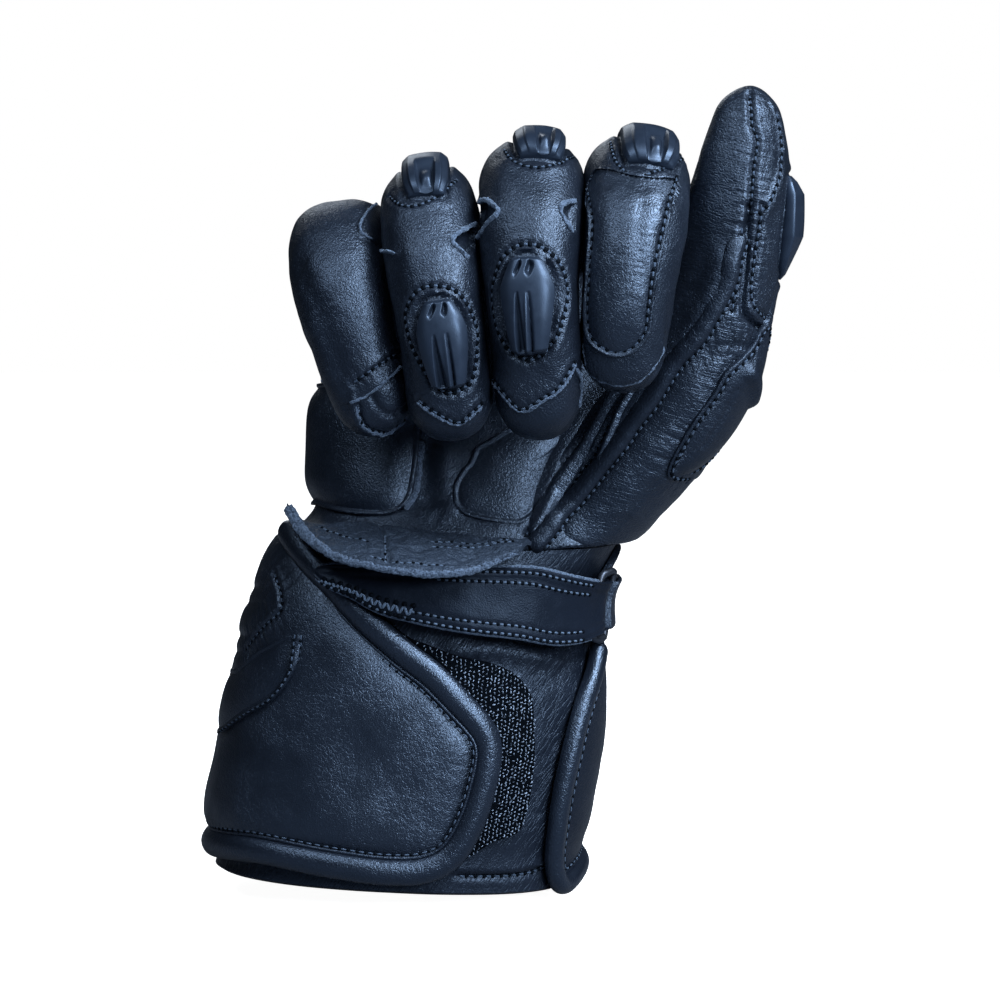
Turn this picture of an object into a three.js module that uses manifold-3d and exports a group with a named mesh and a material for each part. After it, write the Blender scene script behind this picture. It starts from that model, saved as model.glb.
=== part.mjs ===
// A right-hand winter motorcycle glove with a long gauntlet cuff, upright and half closed as it is on a handlebar.
// It is sewn from leather: a hollow hand, five finger stalls and a two-layer cuff, with pads, hard sliders,
// a wrist strap through a wire ring, a cuff flap on a loop patch, and rolled edges.
// Millimetres. Z runs up the forearm, X to the thumb side, -Y to the palm side. The origin is the cuff's mouth.
import * as THREE from 'three';
import { mergeVertices } from 'three/addons/utils/BufferGeometryUtils.js';
import Module from 'manifold-3d';

const wasm = await Module();
wasm.setup();

// Driving dimensions
const WALL = 2.2; // leather with its lining
const GAP = 0.35; // clearance between neighbouring pieces
const SLACK = 0.15; // extra clearance under a bar that crosses flat faces
const ROUNDNESS = 2.35; // exponent of the oval sections: 2 is an ellipse, more is boxier
const ROLL = { half: 3.4, depth: 1.9 }; // the padded roll round the cuff's edges: half width and half thickness
const WELT = { half: 2.2, depth: 1.1 }; // the raised seam along the thumb
const FINGER = { around: 14, steps: 9, cap: 3, innerAround: 8, innerSteps: 6, innerCap: 2 };
const BODY_AROUND = 28; // points round the cuff and the hand

// The cuff's inner layer, from its mouth to the wrist: height, centre and half sizes of each section.
// The last row only shapes the outer layers, which stand a little higher.
const CUFF = [
  { z: -6, x: -3.9, y: 0, a: 46.9, b: 35.6 },
  { z: 7, x: -1.4, y: 0, a: 46.4, b: 35.9 },
  { z: 15, x: -0.7, y: 0, a: 48, b: 36.4 },
  { z: 36, x: 2.8, y: 0, a: 48, b: 35.8 },
  { z: 58, x: 5.2, y: 0, a: 45.4, b: 33.5 },
  { z: 66, x: 5.8, y: 0, a: 43.6, b: 32.2 },
  { z: 74, x: 7.2, y: 0, a: 42.8, b: 31 },
  { z: 86, x: 12.2, y: 0, a: 44.1, b: 28.5 },
  { z: 96, x: 16.5, y: 0, a: 44, b: 26.5 },
];
const CUFF_LEVELS = [0, 7, 15, 36, 58, 66, 74, 86];
const MOUTH_TILT = -0.05; // the mouth's edge drops towards the thumb side
const WRIST = 86; // where the cuff's inner layer ends and the hand begins

// The hand, from the wrist to the row of knuckles
const HAND = [
  { z: 86.35, x: 12.2, y: 0, a: 44.1, b: 28.5 },
  { z: 94, x: 18.2, y: 2, a: 41.8, b: 25.5 },
  { z: 104, x: 20, y: 4, a: 42, b: 23 },
  { z: 118, x: 21.5, y: 6.5, a: 43, b: 21.5 },
  { z: 134, x: 23.5, y: 8.5, a: 45, b: 20 },
  { z: 150, x: 25, y: 9.6, a: 47, b: 18.5 },
  { z: 160, x: 26, y: 10, a: 47.2, b: 17 },
];
const HAND_CROWN = 12; // the knuckles' round top above the last section
const SIDE_SEAM = { y: 0.6, z: 86, lean: 0.13 }; // the plane of the seams between the palm and the back panel

// Finger and thumb stalls: the centreline from inside the hand to the tip, with half width and half depth.
// `side` points across the stall, `round` is the length of its rounded end.
const STALLS = {
  little_finger: {
    side: [1, 0, 0.12],
    round: 10,
    rows: [
      { x: -10, y: 12, z: 142, w: 10.5, d: 12 },
      { x: -12, y: -9, z: 156, w: 12.4, d: 12.6 },
      { x: -14, y: -26, z: 162.5, w: 13.4, d: 13 },
      { x: -14.4, y: -38.5, z: 154, w: 12.2, d: 12 },
      { x: -11.4, y: -43.5, z: 141, w: 10.8, d: 11 },
      { x: -7.2, y: -43, z: 129, w: 10, d: 10.4 },
      { x: -3.2, y: -39, z: 117, w: 9.4, d: 9.4 },
    ],
  },
  ring_finger: {
    side: [1, 0, 0.14],
    round: 11,
    rows: [
      { x: 11, y: 10, z: 150, w: 10.2, d: 11.4 },
      { x: 9.2, y: -14, z: 166.5, w: 11.6, d: 12.4 },
      { x: 8, y: -34, z: 171.5, w: 12, d: 12.8 },
      { x: 8.6, y: -47.5, z: 161, w: 11.6, d: 12 },
      { x: 11, y: -52, z: 145, w: 11, d: 11.6 },
      { x: 12.8, y: -50, z: 130.5, w: 10.7, d: 11 },
      { x: 14.2, y: -45, z: 116, w: 10.2, d: 10 },
    ],
  },
  middle_finger: {
    side: [1, 0, 0.02],
    round: 11,
    rows: [
      { x: 32.5, y: 10, z: 153, w: 10.4, d: 11.6 },
      { x: 33.2, y: -14, z: 171.5, w: 12.4, d: 12.6 },
      { x: 33.6, y: -36, z: 177.5, w: 13.2, d: 13 },
      { x: 33.4, y: -49.5, z: 166, w: 12.6, d: 12.6 },
      { x: 33.8, y: -54, z: 148.5, w: 11.4, d: 11.8 },
      { x: 35, y: -51.5, z: 132.5, w: 10.9, d: 11 },
      { x: 36.2, y: -46, z: 116.5, w: 10.4, d: 10 },
    ],
  },
  index_finger: {
    side: [1, 0, -0.1],
    round: 11,
    rows: [
      { x: 54, y: 10, z: 154, w: 10.4, d: 11.6 },
      { x: 57.6, y: -14, z: 172.5, w: 12, d: 12.6 },
      { x: 60, y: -35, z: 178.5, w: 13.2, d: 13 },
      { x: 59.6, y: -48, z: 169.5, w: 12.7, d: 12.4 },
      { x: 57.6, y: -52.5, z: 155, w: 11.6, d: 11.8 },
      { x: 56.4, y: -50.5, z: 142, w: 10.8, d: 11 },
      { x: 55.6, y: -46, z: 128, w: 10, d: 10 },
    ],
  },
  thumb: {
    side: [0.86, -0.5, -0.1],
    round: 6.5,
    rows: [
      { x: 36, y: -4, z: 78, w: 12, d: 15 },
      { x: 50.5, y: -7, z: 97, w: 14, d: 16.5 },
      { x: 64.5, y: -13, z: 114.5, w: 15.2, d: 16.4 },
      { x: 76, y: -19.5, z: 134, w: 15, d: 14.6 },
      { x: 82, y: -24, z: 155, w: 14.2, d: 13.2 },
      { x: 86.4, y: -26, z: 176, w: 12.8, d: 12.2 },
      { x: 88.2, y: -26.5, z: 192, w: 9.4, d: 10.2 },
      { x: 89.2, y: -26, z: 204, w: 5.6, d: 6.4 },
    ],
  },
};

// Hard sliders on the stalls: angle of the middle from the stall's back, half spread in degrees,
// the start and end along the stall, and the height of the crown
const SLIDERS = {
  ring_knuckle_slider: { stall: 'ring_finger', turn: 4, spread: 25, from: 34, to: 59, crown: 3.2 },
  middle_knuckle_slider: { stall: 'middle_finger', turn: 12, spread: 26, from: 34, to: 59, crown: 4 },
  index_knuckle_slider: { stall: 'index_finger', turn: 10, spread: 30, from: 36, to: 62, crown: 3.8 },
  ring_tip_slider: { stall: 'ring_finger', turn: 1, spread: 30, from: 79, to: 97, crown: 3 },
  middle_tip_slider: { stall: 'middle_finger', turn: -6, spread: 30, from: 78.5, to: 97.5, crown: 3 },
  thumb_slider: { stall: 'thumb', turn: 50, spread: 37, from: 98, to: 121.5, crown: 3.4 },
};
const SLIDER_CORNERS = [
  [-0.55, 0], [0.55, 0], [1, 0.3], [0.92, 0.7], [0.5, 1], [-0.5, 1], [-0.92, 0.7], [-1, 0.3],
];

// Leather laid over the stalls: corners as angle from the stall's back and distance along it
const STALL_PATCHES = {
  index_top_panel: {
    stall: 'index_finger',
    crown: 1.7,
    corners: [
      [-76, 64], [-62, 73], [-60, 83], [-58, 91], [-47, 96.4], [-23, 98.6], [-5, 99], [12, 97.4], [26, 93],
      [27, 88], [27, 80], [30, 74], [34, 68.5], [42, 66], [20, 67], [-6, 67.5], [-30, 66], [-55, 63],
    ],
  },
  thumb_knuckle_pad: {
    stall: 'thumb',
    crown: 2.5,
    corners: [
      [76, 86], [92, 85], [100, 81.4], [112, 78.4], [126, 74.7], [129, 70], [133.5, 62], [131, 54], [125, 48],
      [116, 45.3], [100, 45.6], [80, 50], [64, 58], [56, 68], [60, 79],
    ],
  },
};

// Pads on the palm and the leaf on the flap: corners as angle round the body and height
const BODY_PATCHES = {
  palm_side_pad: {
    table: HAND,
    base: 0,
    crown: 4,
    corners: [
      [-100, 96.5], [-76, 96.4], [-47, 95], [-28, 95], [-20.5, 98], [-18.5, 105], [-18.5, 116], [-20, 125],
      [-45, 127.5], [-80, 127.5], [-104, 125], [-108, 112],
    ],
  },
  palm_centre_pad: {
    table: HAND,
    base: 0,
    crown: 3,
    corners: [
      [0.5, 113.5], [-2.2, 108.5], [-5.4, 103.3], [-5.4, 98.5], [-3, 95.9], [2, 94], [10, 93], [15, 93],
      [18.5, 95], [20.3, 98.4], [21, 102], [24, 108.4], [28.3, 113.7], [30.5, 118], [14, 120],
    ],
  },
  cuff_leaf: {
    table: CUFF,
    base: WALL + GAP,
    crown: 1.8,
    corners: [
      [-38, 65.5], [-37, 62], [-37.6, 55.6], [-44, 48.7], [-57.5, 43.6], [-77, 37.5], [-100, 36], [-106, 44],
      [-92, 52], [-72, 54.5], [-56, 60.5],
    ],
  },
};

// The flap's free edge, from the top corner down the palm side and back round the hem: angle and height
const FLAP_EDGE = [
  { angle: -70, z: 91 },
  { angle: -57, z: 87.5 },
  { angle: -39, z: 81.3 },
  { angle: -26.5, z: 75.9 },
  { angle: -12.8, z: 67.6 },
  { angle: -4, z: 61.5 },
  { angle: 3.2, z: 55 },
  { angle: 10, z: 48.4 },
  { angle: 17.6, z: 41.3 },
  { angle: 20, z: 36.5 },
  { angle: 20, z: 30 },
  { angle: 19, z: 20.8 },
  { angle: 17, z: 14.3 },
  { angle: 13.4, z: 8.5 },
  { angle: 7, z: 5.5 },
  { angle: -1, z: 5.2 },
  { angle: -14.6, z: 6.8 },
  { angle: -39, z: 9.3 },
  { angle: -60, z: 9 },
  { angle: -83, z: 7.8 },
  { angle: -111, z: 6.4 },
];

// The back layer's edge, from the top of its thumb side down and round the hem
const BACK_EDGE = [
  { angle: 74.5, z: 61 },
  { angle: 67, z: 53.7 },
  { angle: 59, z: 47 },
  { angle: 54, z: 39.8 },
  { angle: 51.4, z: 31 },
  { angle: 50.7, z: 22 },
  { angle: 52.4, z: 11.5 },
  { angle: 56.5, z: 2.6 },
  { angle: 63, z: -1.6 },
  { angle: 74, z: 0 },
  { angle: 92, z: 1.8 },
  { angle: 130, z: 3 },
  { angle: 180, z: 3.6 },
  { angle: 247, z: 5.6 },
];
const OUTER_SEAM = -112; // angle of the seam between the flap and the back layer
const OUTER_TOP = 84; // the outer layer's top edge round the back

// The loop patch's thumb-side edge
const LOOP_EDGE = [
  { z: 12, angle: 27 },
  { z: 14.4, angle: 36 },
  { z: 20.7, angle: 37.8 },
  { z: 30, angle: 37.5 },
  { z: 41, angle: 36 },
  { z: 48, angle: 34.8 },
  { z: 52, angle: 32 },
  { z: 55.5, angle: 27 },
  { z: 58, angle: 19.4 },
  { z: 60, angle: 8.8 },
  { z: 64, angle: -1.3 },
];

// The wrist strap: its outer run from the pointed free end to the ring, then back under itself
const STRAP_RUN = [
  { angle: -34.5, out: 6.7, low: 80, high: 82.6 },
  { angle: -30, out: 6.7, low: 78, high: 83.2 },
  { angle: -20, out: 6.7, low: 75.4, high: 83.3 },
  { angle: -9.5, out: 6.7, low: 71.3, high: 83.2 },
  { angle: 3.7, out: 6.7, low: 67.7, high: 82.9 },
  { angle: 14, out: 6.5, low: 66, high: 82.8 },
  { angle: 26, out: 6.3, low: 64.6, high: 82.2 },
  { angle: 38, out: 6.2, low: 62.6, high: 80.2 },
  { angle: 50, out: 6.4, low: 62.5, high: 78.4 },
  { angle: 61, out: 6.6, low: 63.6, high: 77.4 },
];
const STRAP_RETURN = [
  { angle: 61, out: 1.7, low: 64.6, high: 77.4 },
  { angle: 46, out: 1.7, low: 64.6, high: 77.6 },
  { angle: 32, out: 1.7, low: 65, high: 78.6 },
  { angle: 18, out: 1.7, low: 66, high: 80 },
  { angle: 10, out: 1.7, low: 67, high: 80 },
];
const STRAP = { level: 71, thickness: 2.1, bend: 2.45, foldAngle: 64, wireOut: 4.15, edges: [64.2, 77.4] };
const WIRE = { radius: 1.1, width: 6.6, low: 62.2, high: 79.4, corner: 2 };
const TAB = { bend: 2.1, thickness: 1.4, edges: [64.6, 77], end: 102, outs: [3.75, 5.7] };

// The heel tongue stands out over the strap: its free edge, and where it leaves the palm
const HEEL_TONGUE = [
  { u: 0, x: -28.5, y: -29, z: 95.5, rootAngle: -66, rootZ: 93.4 },
  { u: 0.25, x: -17, y: -40, z: 87, rootAngle: -46, rootZ: 92.4 },
  { u: 0.5, x: -1, y: -46, z: 83.2, rootAngle: -24, rootZ: 92.2 },
  { u: 0.75, x: 16, y: -45, z: 82.6, rootAngle: 0, rootZ: 90.2 },
  { u: 1, x: 30.5, y: -37.5, z: 86.8, rootAngle: 25, rootZ: 88 },
];

// The raised seam on the inside of the thumb: distance along it and angle round it
const THUMB_WELT = [
  [107, 145], [100, 151], [95, 150], [87, 158], [80, 166], [71.6, 176], [61, 177], [52, 178], [44.4, 176],
  [38, 176], [30.7, 173], [23.7, 171.4], [17, 171],
];

const { degToRad, clamp, lerp } = THREE.MathUtils;
const power = (value, exponent) => Math.sign(value) * Math.abs(value) ** exponent;

// The table's row at a value of one column, on a smooth curve through the rows
function rowAt(rows, column, value) {
  let i = 0;
  while (i < rows.length - 2 && rows[i + 1][column] < value) i++;
  const [before, from, to, after] = [i - 1, i, i + 1, i + 2].map((k) => rows[clamp(k, 0, rows.length - 1)]);
  const step = to[column] - from[column];
  const t = (value - from[column]) / step;
  const row = {};
  for (const key of Object.keys(from)) {
    const out = (to[key] - before[key]) / (to[column] - before[column]);
    const into = (after[key] - from[key]) / (after[column] - from[column]);
    row[key] = from[key] * (2 * t ** 3 - 3 * t ** 2 + 1) + to[key] * (3 * t ** 2 - 2 * t ** 3)
      + step * (out * (t ** 3 - 2 * t ** 2 + t) + into * (t ** 3 - t ** 2));
  }
  return row;
}

// Rows with their distance along the polyline through them, in a column `s`
function measured(rows) {
  let s = 0;
  return rows.map((row, i) => {
    const last = rows[Math.max(i - 1, 0)];
    s += Math.hypot(row.x - last.x, row.y - last.y, row.z - last.z);
    return { ...row, s };
  });
}

// A point on the cuff or the hand: angle in degrees from the palm side towards the thumb, height, and how far out
function bodyPoint(table, angle, z, out = 0) {
  const row = rowAt(table, 'z', z);
  const turn = degToRad(angle);
  const across = power(Math.sin(turn), 2 / ROUNDNESS);
  const deep = power(Math.cos(turn), 2 / ROUNDNESS);
  return new THREE.Vector3(row.x + (row.a + out) * across, row.y - (row.b + out) * deep, z);
}

const onCuff = (angle, z, out) => bodyPoint(CUFF, angle, z, out);

// A stall's surface: distance along it, angle round it from its back, and how far out
class Stall {
  constructor({ rows, side, round }) {
    this.rows = measured(rows);
    this.side = new THREE.Vector3(...side).normalize();
    this.round = round;
    this.length = this.rows.at(-1).s;
  }

  centre(s) {
    const row = rowAt(this.rows, 's', s);
    return new THREE.Vector3(row.x, row.y, row.z);
  }

  point(s, angle, out = 0) {
    const row = rowAt(this.rows, 's', s);
    const along = this.centre(s + 1).sub(this.centre(s - 1)).normalize();
    const across = this.side.clone().addScaledVector(along, -this.side.dot(along)).normalize();
    const back = along.clone().cross(across);
    const into = Math.max(0, (s - (this.length - this.round)) / (this.round + out));
    const full = Math.sqrt(Math.max(0, 1 - into ** 2));
    const turn = degToRad(angle);
    return this.centre(s)
      .addScaledVector(across, (row.w + out) * full * power(Math.sin(turn), 2 / ROUNDNESS))
      .addScaledVector(back, (row.d + out) * full * power(Math.cos(turn), 2 / ROUNDNESS));
  }

  // A closed solid of the stall grown by `out`, from its open end to its tip
  solid(out, around, steps, cap) {
    const roundStart = this.length - this.round;
    const end = this.length + out;
    const places = Array.from({ length: steps + 1 }, (_, i) => (roundStart * i) / steps);
    for (let i = 1; i <= cap; i++) places.push(lerp(roundStart, end, Math.sin((i / (cap + 0.45)) * (Math.PI / 2))));
    const rings = places.map((s) => ringOf(around, (angle) => this.point(s, angle, out)));
    const tip = this.point(end, 0, out);
    return loft(rings, { tip });
  }

  outer(out) {
    return this.solid(out, FINGER.around, FINGER.steps, FINGER.cap);
  }

  inner() {
    return this.solid(-WALL, FINGER.innerAround, FINGER.innerSteps, FINGER.innerCap);
  }
}

const stalls = Object.fromEntries(Object.entries(STALLS).map(([name, table]) => [name, new Stall(table)]));

function ringOf(count, pointAt) {
  return Array.from({ length: count }, (_, k) => pointAt((k * 360) / count));
}

// Triangles between points, as a geometry
function geometryOf(points, triangles) {
  const geometry = new THREE.BufferGeometry().setFromPoints(points);
  geometry.setIndex(triangles);
  return geometry;
}

// A geometry as a solid that can be cut and joined; a shape built inside out is turned the right way
function solidOf(geometry) {
  const bare = geometry.clone();
  bare.deleteAttribute('normal');
  bare.deleteAttribute('uv');
  const merged = mergeVertices(bare, 1e-4);
  const triVerts = new Uint32Array(merged.index.array);
  const build = () => new wasm.Manifold(new wasm.Mesh({
    numProp: 3,
    vertProperties: merged.attributes.position.array,
    triVerts,
  }));
  const made = build();
  if (made.volume() > 0) return made;
  triVerts.reverse();
  return build();
}

// A solid back as a flat-shaded geometry
function geometryFrom(solid) {
  const mesh = solid.getMesh();
  const positions = new Float32Array(mesh.numVert * 3);
  for (let i = 0; i < mesh.numVert; i++) {
    positions.set(mesh.vertProperties.subarray(i * mesh.numProp, i * mesh.numProp + 3), i * 3);
  }
  const geometry = new THREE.BufferGeometry();
  geometry.setAttribute('position', new THREE.BufferAttribute(positions, 3));
  geometry.setIndex(new THREE.BufferAttribute(new Uint32Array(mesh.triVerts), 1));
  const flat = geometry.toNonIndexed();
  flat.computeVertexNormals();
  return flat;
}

// A solid through rings of equal count: joined end to end when it is a loop, otherwise closed by a fan at each
// end, the last one to `tip` when there is one
function loft(rings, { loop = false, tip = null } = {}) {
  const count = rings[0].length;
  const points = rings.flat();
  const triangles = [];
  const strips = loop ? rings.length : rings.length - 1;
  for (let i = 0; i < strips; i++) {
    const next = ((i + 1) % rings.length) * count;
    for (let k = 0; k < count; k++) {
      const [a, b] = [i * count + k, i * count + ((k + 1) % count)];
      const [c, d] = [next + k, next + ((k + 1) % count)];
      triangles.push(a, c, b, b, c, d);
    }
  }
  const middleOf = (ring) => ring.reduce((sum, p) => sum.add(p), new THREE.Vector3()).divideScalar(count);
  const ends = loop ? [] : [[0, middleOf(rings[0]), false], [rings.length - 1, tip ?? middleOf(rings.at(-1)), true]];
  for (const [i, hubPoint, flip] of ends) {
    const hub = points.push(hubPoint) - 1;
    for (let k = 0; k < count; k++) {
      const [a, b] = [i * count + k, i * count + ((k + 1) % count)];
      triangles.push(...(flip ? [hub, b, a] : [hub, a, b]));
    }
  }
  return solidOf(geometryOf(points, triangles));
}

// A sheet with a thickness: pointAt(u, v, side) with u and v from 0 to 1 and side 0 under or 1 on top
function sheet(uSteps, vSteps, pointAt) {
  const rows = [];
  for (let i = 0; i <= uSteps; i++) {
    const ring = [];
    for (let j = 0; j <= vSteps; j++) ring.push(pointAt(i / uSteps, j / vSteps, 1));
    for (let j = vSteps; j >= 0; j--) ring.push(pointAt(i / uSteps, j / vSteps, 0));
    rows.push(ring);
  }
  const count = rows[0].length;
  const points = rows.flat();
  const triangles = [];
  for (let i = 0; i < uSteps; i++) {
    for (let k = 0; k < count; k++) {
      const [a, b] = [i * count + k, i * count + ((k + 1) % count)];
      const [c, d] = [a + count, b + count];
      triangles.push(a, c, b, b, c, d);
    }
  }
  for (const [start, flip] of [[0, false], [uSteps * count, true]]) {
    for (let j = 0; j < vSteps; j++) {
      const [a, b] = [start + j, start + j + 1];
      const [c, d] = [start + count - 1 - j, start + count - 2 - j];
      triangles.push(...(flip ? [a, c, b, b, c, d] : [a, b, c, b, d, c]));
    }
  }
  return solidOf(geometryOf(points, triangles));
}

// The largest body of a solid that a cut may have left in pieces
function largest(solid) {
  return solid.decompose().sort((a, b) => b.volume() - a.volume())[0];
}

// A smooth closed outline through a few corners
function outlineOf(corners, count) {
  const curve = new THREE.CatmullRomCurve3(corners.map(([u, v]) => new THREE.Vector3(u, v, 0)), true);
  return curve.getSpacedPoints(count).slice(0, count).map((p) => [p.x, p.y]);
}

// A pad on a surface, pointAt(u, v, out): it reaches under the surface, and its top swells from rim to crown
function pad(pointAt, outline, { base = 0, rim, crown, shares = [0.9, 0.55] }) {
  const middle = outline.reduce((sum, [u, v]) => [sum[0] + u / outline.length, sum[1] + v / outline.length], [0, 0]);
  const at = (u, v, share, out) => pointAt(lerp(middle[0], u, share), lerp(middle[1], v, share), base + out);
  const ring = (share, out) => outline.map(([u, v]) => at(u, v, share, out));
  const under = -1.2;
  const swell = (share) => lerp(rim, crown, Math.sqrt(1 - share ** 2.6));
  const top = shares.map((share) => ring(share, swell(share)));
  return loft([ring(0.5, under), ring(1, under), ring(1, rim), ...top], { tip: at(...middle, 0, crown) });
}

// A rounded bar laid on a surface, pointAt(u, v, out), along corners, with tapered ends
function laidBar(pointAt, corners, { half, depth }, steps) {
  const curve = new THREE.CatmullRomCurve3(corners.map(([u, v]) => new THREE.Vector3(u, v, 0)), false, 'centripetal');
  const places = curve.getSpacedPoints(steps);
  const lift = GAP + depth + SLACK;
  const centres = places.map((p) => pointAt(p.x, p.y, lift));
  const rings = centres.map((centre, i) => {
    const along = centres[Math.min(i + 1, steps)].clone().sub(centres[Math.max(i - 1, 0)]).normalize();
    const outward = pointAt(places[i].x, places[i].y, lift + 1).sub(centre);
    outward.addScaledVector(along, -outward.dot(along)).normalize();
    const across = along.clone().cross(outward);
    const size = i === 0 || i === steps ? 0.55 : 1;
    return ringOf(6, (angle) => centre.clone()
      .addScaledVector(across, half * size * Math.cos(degToRad(angle)))
      .addScaledVector(outward, depth * size * Math.sin(degToRad(angle))));
  });
  return loft(rings);
}

// The hand grown by `out`: its sections, then the round top over the knuckles
function handSolid(out, around, heights) {
  const last = HAND.at(-1);
  const rings = heights.map((z) => ringOf(around, (angle) => bodyPoint(HAND, angle, z, out)));
  for (const lift of [0.45, 0.8, 0.97]) {
    const share = Math.sqrt(1 - lift ** 2);
    const height = last.z + (HAND_CROWN + out) * lift;
    rings.push(rings[heights.length - 1].map((p) => new THREE.Vector3(
      lerp(last.x, p.x, 0.16 + 0.84 * share), lerp(last.y, p.y, share), height)));
  }
  return loft(rings);
}

const HAND_LEVELS = [94, 104, 118, 134, 150, 160];
const handOuter = (out, bottom = HAND[0].z) => handSolid(out, BODY_AROUND, [bottom, ...HAND_LEVELS]);

// One side of the side-seam plane, as a large block
function halfSpace(palmSide) {
  const size = 400;
  const block = new THREE.BoxGeometry(size, size, size);
  block.translate(0, (palmSide ? -1 : 1) * (size / 2 + GAP / 2), 0);
  block.rotateX(-Math.atan(SIDE_SEAM.lean));
  block.translate(0, SIDE_SEAM.y, SIDE_SEAM.z);
  return solidOf(block);
}

// The hollow hand in two panels, with a hole where each stall opens into it
function handPanels() {
  const bottom = HAND[0].z;
  let shell = handOuter(0).subtract(handSolid(-WALL, 20, [bottom - 0.1, 98, 118, 140, 160]));
  for (const stall of Object.values(stalls)) shell = shell.subtract(stall.inner());
  return {
    palm_panel: largest(shell.intersect(halfSpace(true))),
    back_panel: largest(shell.intersect(halfSpace(false))),
  };
}

// Everything below a height, as a large block
function below(z) {
  const size = 400;
  return solidOf(new THREE.BoxGeometry(size, size, size).translate(0, 0, z - size / 2));
}

// Each stall is hollow, stops at the hand, and leaves a small gap to its neighbour
function stallSolids() {
  const hand = handOuter(GAP, HAND[0].z - 2);
  const neighbour = {
    little_finger: 'ring_finger',
    ring_finger: 'middle_finger',
    middle_finger: 'index_finger',
    index_finger: 'thumb',
  };
  const made = {};
  for (const [name, stall] of Object.entries(stalls)) {
    let solid = stall.outer(0).subtract(stall.inner()).subtract(hand).subtract(below(WRIST + GAP));
    if (neighbour[name]) solid = solid.subtract(stalls[neighbour[name]].outer(GAP));
    made[name] = largest(solid);
  }
  return made;
}

// Pieces laid on a stall are cut to its faces, a gap away
function onStall(stall, outline, sizes) {
  const shape = pad((angle, s, out) => stall.point(s, angle, out), outline, sizes);
  return largest(shape.subtract(stall.outer(GAP)));
}

function slider({ stall, turn, spread, from, to, crown }) {
  const corners = SLIDER_CORNERS.map(([u, v]) => [turn + u * spread, lerp(from, to, v)]);
  return onStall(stalls[stall], outlineOf(corners, 14), { rim: 1.5, crown, shares: [0.62] });
}

function stallPatch({ stall, corners, crown }) {
  return onStall(stalls[stall], outlineOf(corners, 22), { rim: 1.2, crown });
}

function bodyPatch({ table, base, corners, crown }) {
  const shape = pad((angle, z, out) => bodyPoint(table, angle, z, out), outlineOf(corners, 20), {
    base, rim: 1.2, crown, shares: [0.88, 0.5],
  });
  return largest(shape.subtract(table === HAND ? handOuter(GAP) : cuffFlap(GAP)));
}

// The outer layer bulges over the wrist's fold on the little-finger side: angle, height, reaches and rise
const PLEATS = [{ angle: -90, z: 66, wide: 34, tall: 5, rise: 1.7 }];

function pleated(angle, z) {
  const round = ((angle + 180) % 360 + 360) % 360 - 180;
  return PLEATS.reduce((sum, { angle: at, z: level, wide, tall, rise }) => (
    sum + rise * Math.exp(-(((round - at) / wide) ** 2) - ((z - level) / tall) ** 2)), 0);
}

// A closed tube of the cuff's section between two heights, `out` from the inner layer's surface
function cuffTube(levels, out, { tilt = 0, bulge = false, around = BODY_AROUND } = {}) {
  return loft(levels.map((z, i) => ringOf(around, (angle) => {
    const point = onCuff(angle, z, out + (bulge ? pleated(angle, z) : 0));
    return i === 0 ? point.setZ(z + tilt * (point.x - CUFF[0].x)) : point;
  })));
}

// The cuff's inner layer is a plain tube
function cuffInner() {
  const hollow = cuffTube([-0.3, 7, 15, 36, 58, 74, WRIST + 0.2], -WALL, { tilt: MOUTH_TILT, around: 24 });
  return cuffTube(CUFF_LEVELS, 0, { tilt: MOUTH_TILT }).subtract(hollow);
}

// Corners with extra points along the long sides
function divided(corners, longest) {
  return corners.flatMap(([u, v], i) => {
    const [nextU, nextV] = corners[(i + 1) % corners.length];
    const parts = Math.ceil(Math.hypot(nextU - u, nextV - v) / longest);
    return Array.from({ length: parts }, (_, k) => [lerp(u, nextU, k / parts), lerp(v, nextV, k / parts)]);
  });
}

// The part of a layer of the cuff inside an outline of angles and heights
function cuffLayer(corners, inside, outside, levels) {
  const outline = divided(corners, 20);
  const middle = outline.reduce((sum, [u, v]) => [sum[0] + u / outline.length, sum[1] + v / outline.length], [0, 0]);
  const ring = (share, out) => outline.map(([u, v]) => onCuff(lerp(middle[0], u, share), lerp(middle[1], v, share), out));
  const shares = [0.2, 0.4, 0.6, 0.8, 1];
  const region = loft([...shares.map((share) => ring(share, -6)), ...shares.reverse().map((share) => ring(share, 9))]);
  const layer = cuffTube(levels, outside, { bulge: true }).subtract(cuffTube([levels[0] - 1, ...levels.slice(1, -1),
    levels.at(-1) + 1], inside, { bulge: true }));
  return layer.intersect(region);
}

const cornersOf = (rows) => rows.map(({ angle, z }) => [angle, z]);
const flapRoll = () => laidBar(onCuff, cornersOf(FLAP_EDGE), ROLL, 34);
const backRoll = () => laidBar(onCuff, cornersOf(BACK_EDGE), ROLL, 28);

// An edge moved sideways by the roll's half width and the clearance: side 1 is to the left of its run
function besideRoll(rows, side) {
  const corners = cornersOf(rows);
  return corners.map(([angle, z], i) => {
    const perDegree = onCuff(angle + 1, z).distanceTo(onCuff(angle - 1, z)) / 2;
    const [last, next] = [corners[Math.max(i - 1, 0)], corners[Math.min(i + 1, corners.length - 1)]];
    const along = new THREE.Vector2((next[0] - last[0]) * perDegree, next[1] - last[1]).normalize();
    const shift = side * (ROLL.half + GAP);
    return [angle - (along.y * shift) / perDegree, z + along.x * shift];
  });
}

const OUTER_LEVELS = [-5, ...CUFF_LEVELS.slice(1), 95];
const [ON_INNER, ON_OUTER] = [GAP, GAP + WALL];

function cuffFlap(thicken = 0) {
  const seam = OUTER_SEAM + 0.4;
  const edge = besideRoll(FLAP_EDGE, -1);
  const corners = [...edge, [seam, edge.at(-1)[1]], [seam, OUTER_TOP], [-90, 87.6]];
  const flap = cuffLayer(corners, ON_INNER, ON_OUTER + thicken, OUTER_LEVELS);
  return thicken ? flap : largest(flap.subtract(handOuter(GAP)));
}

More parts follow.
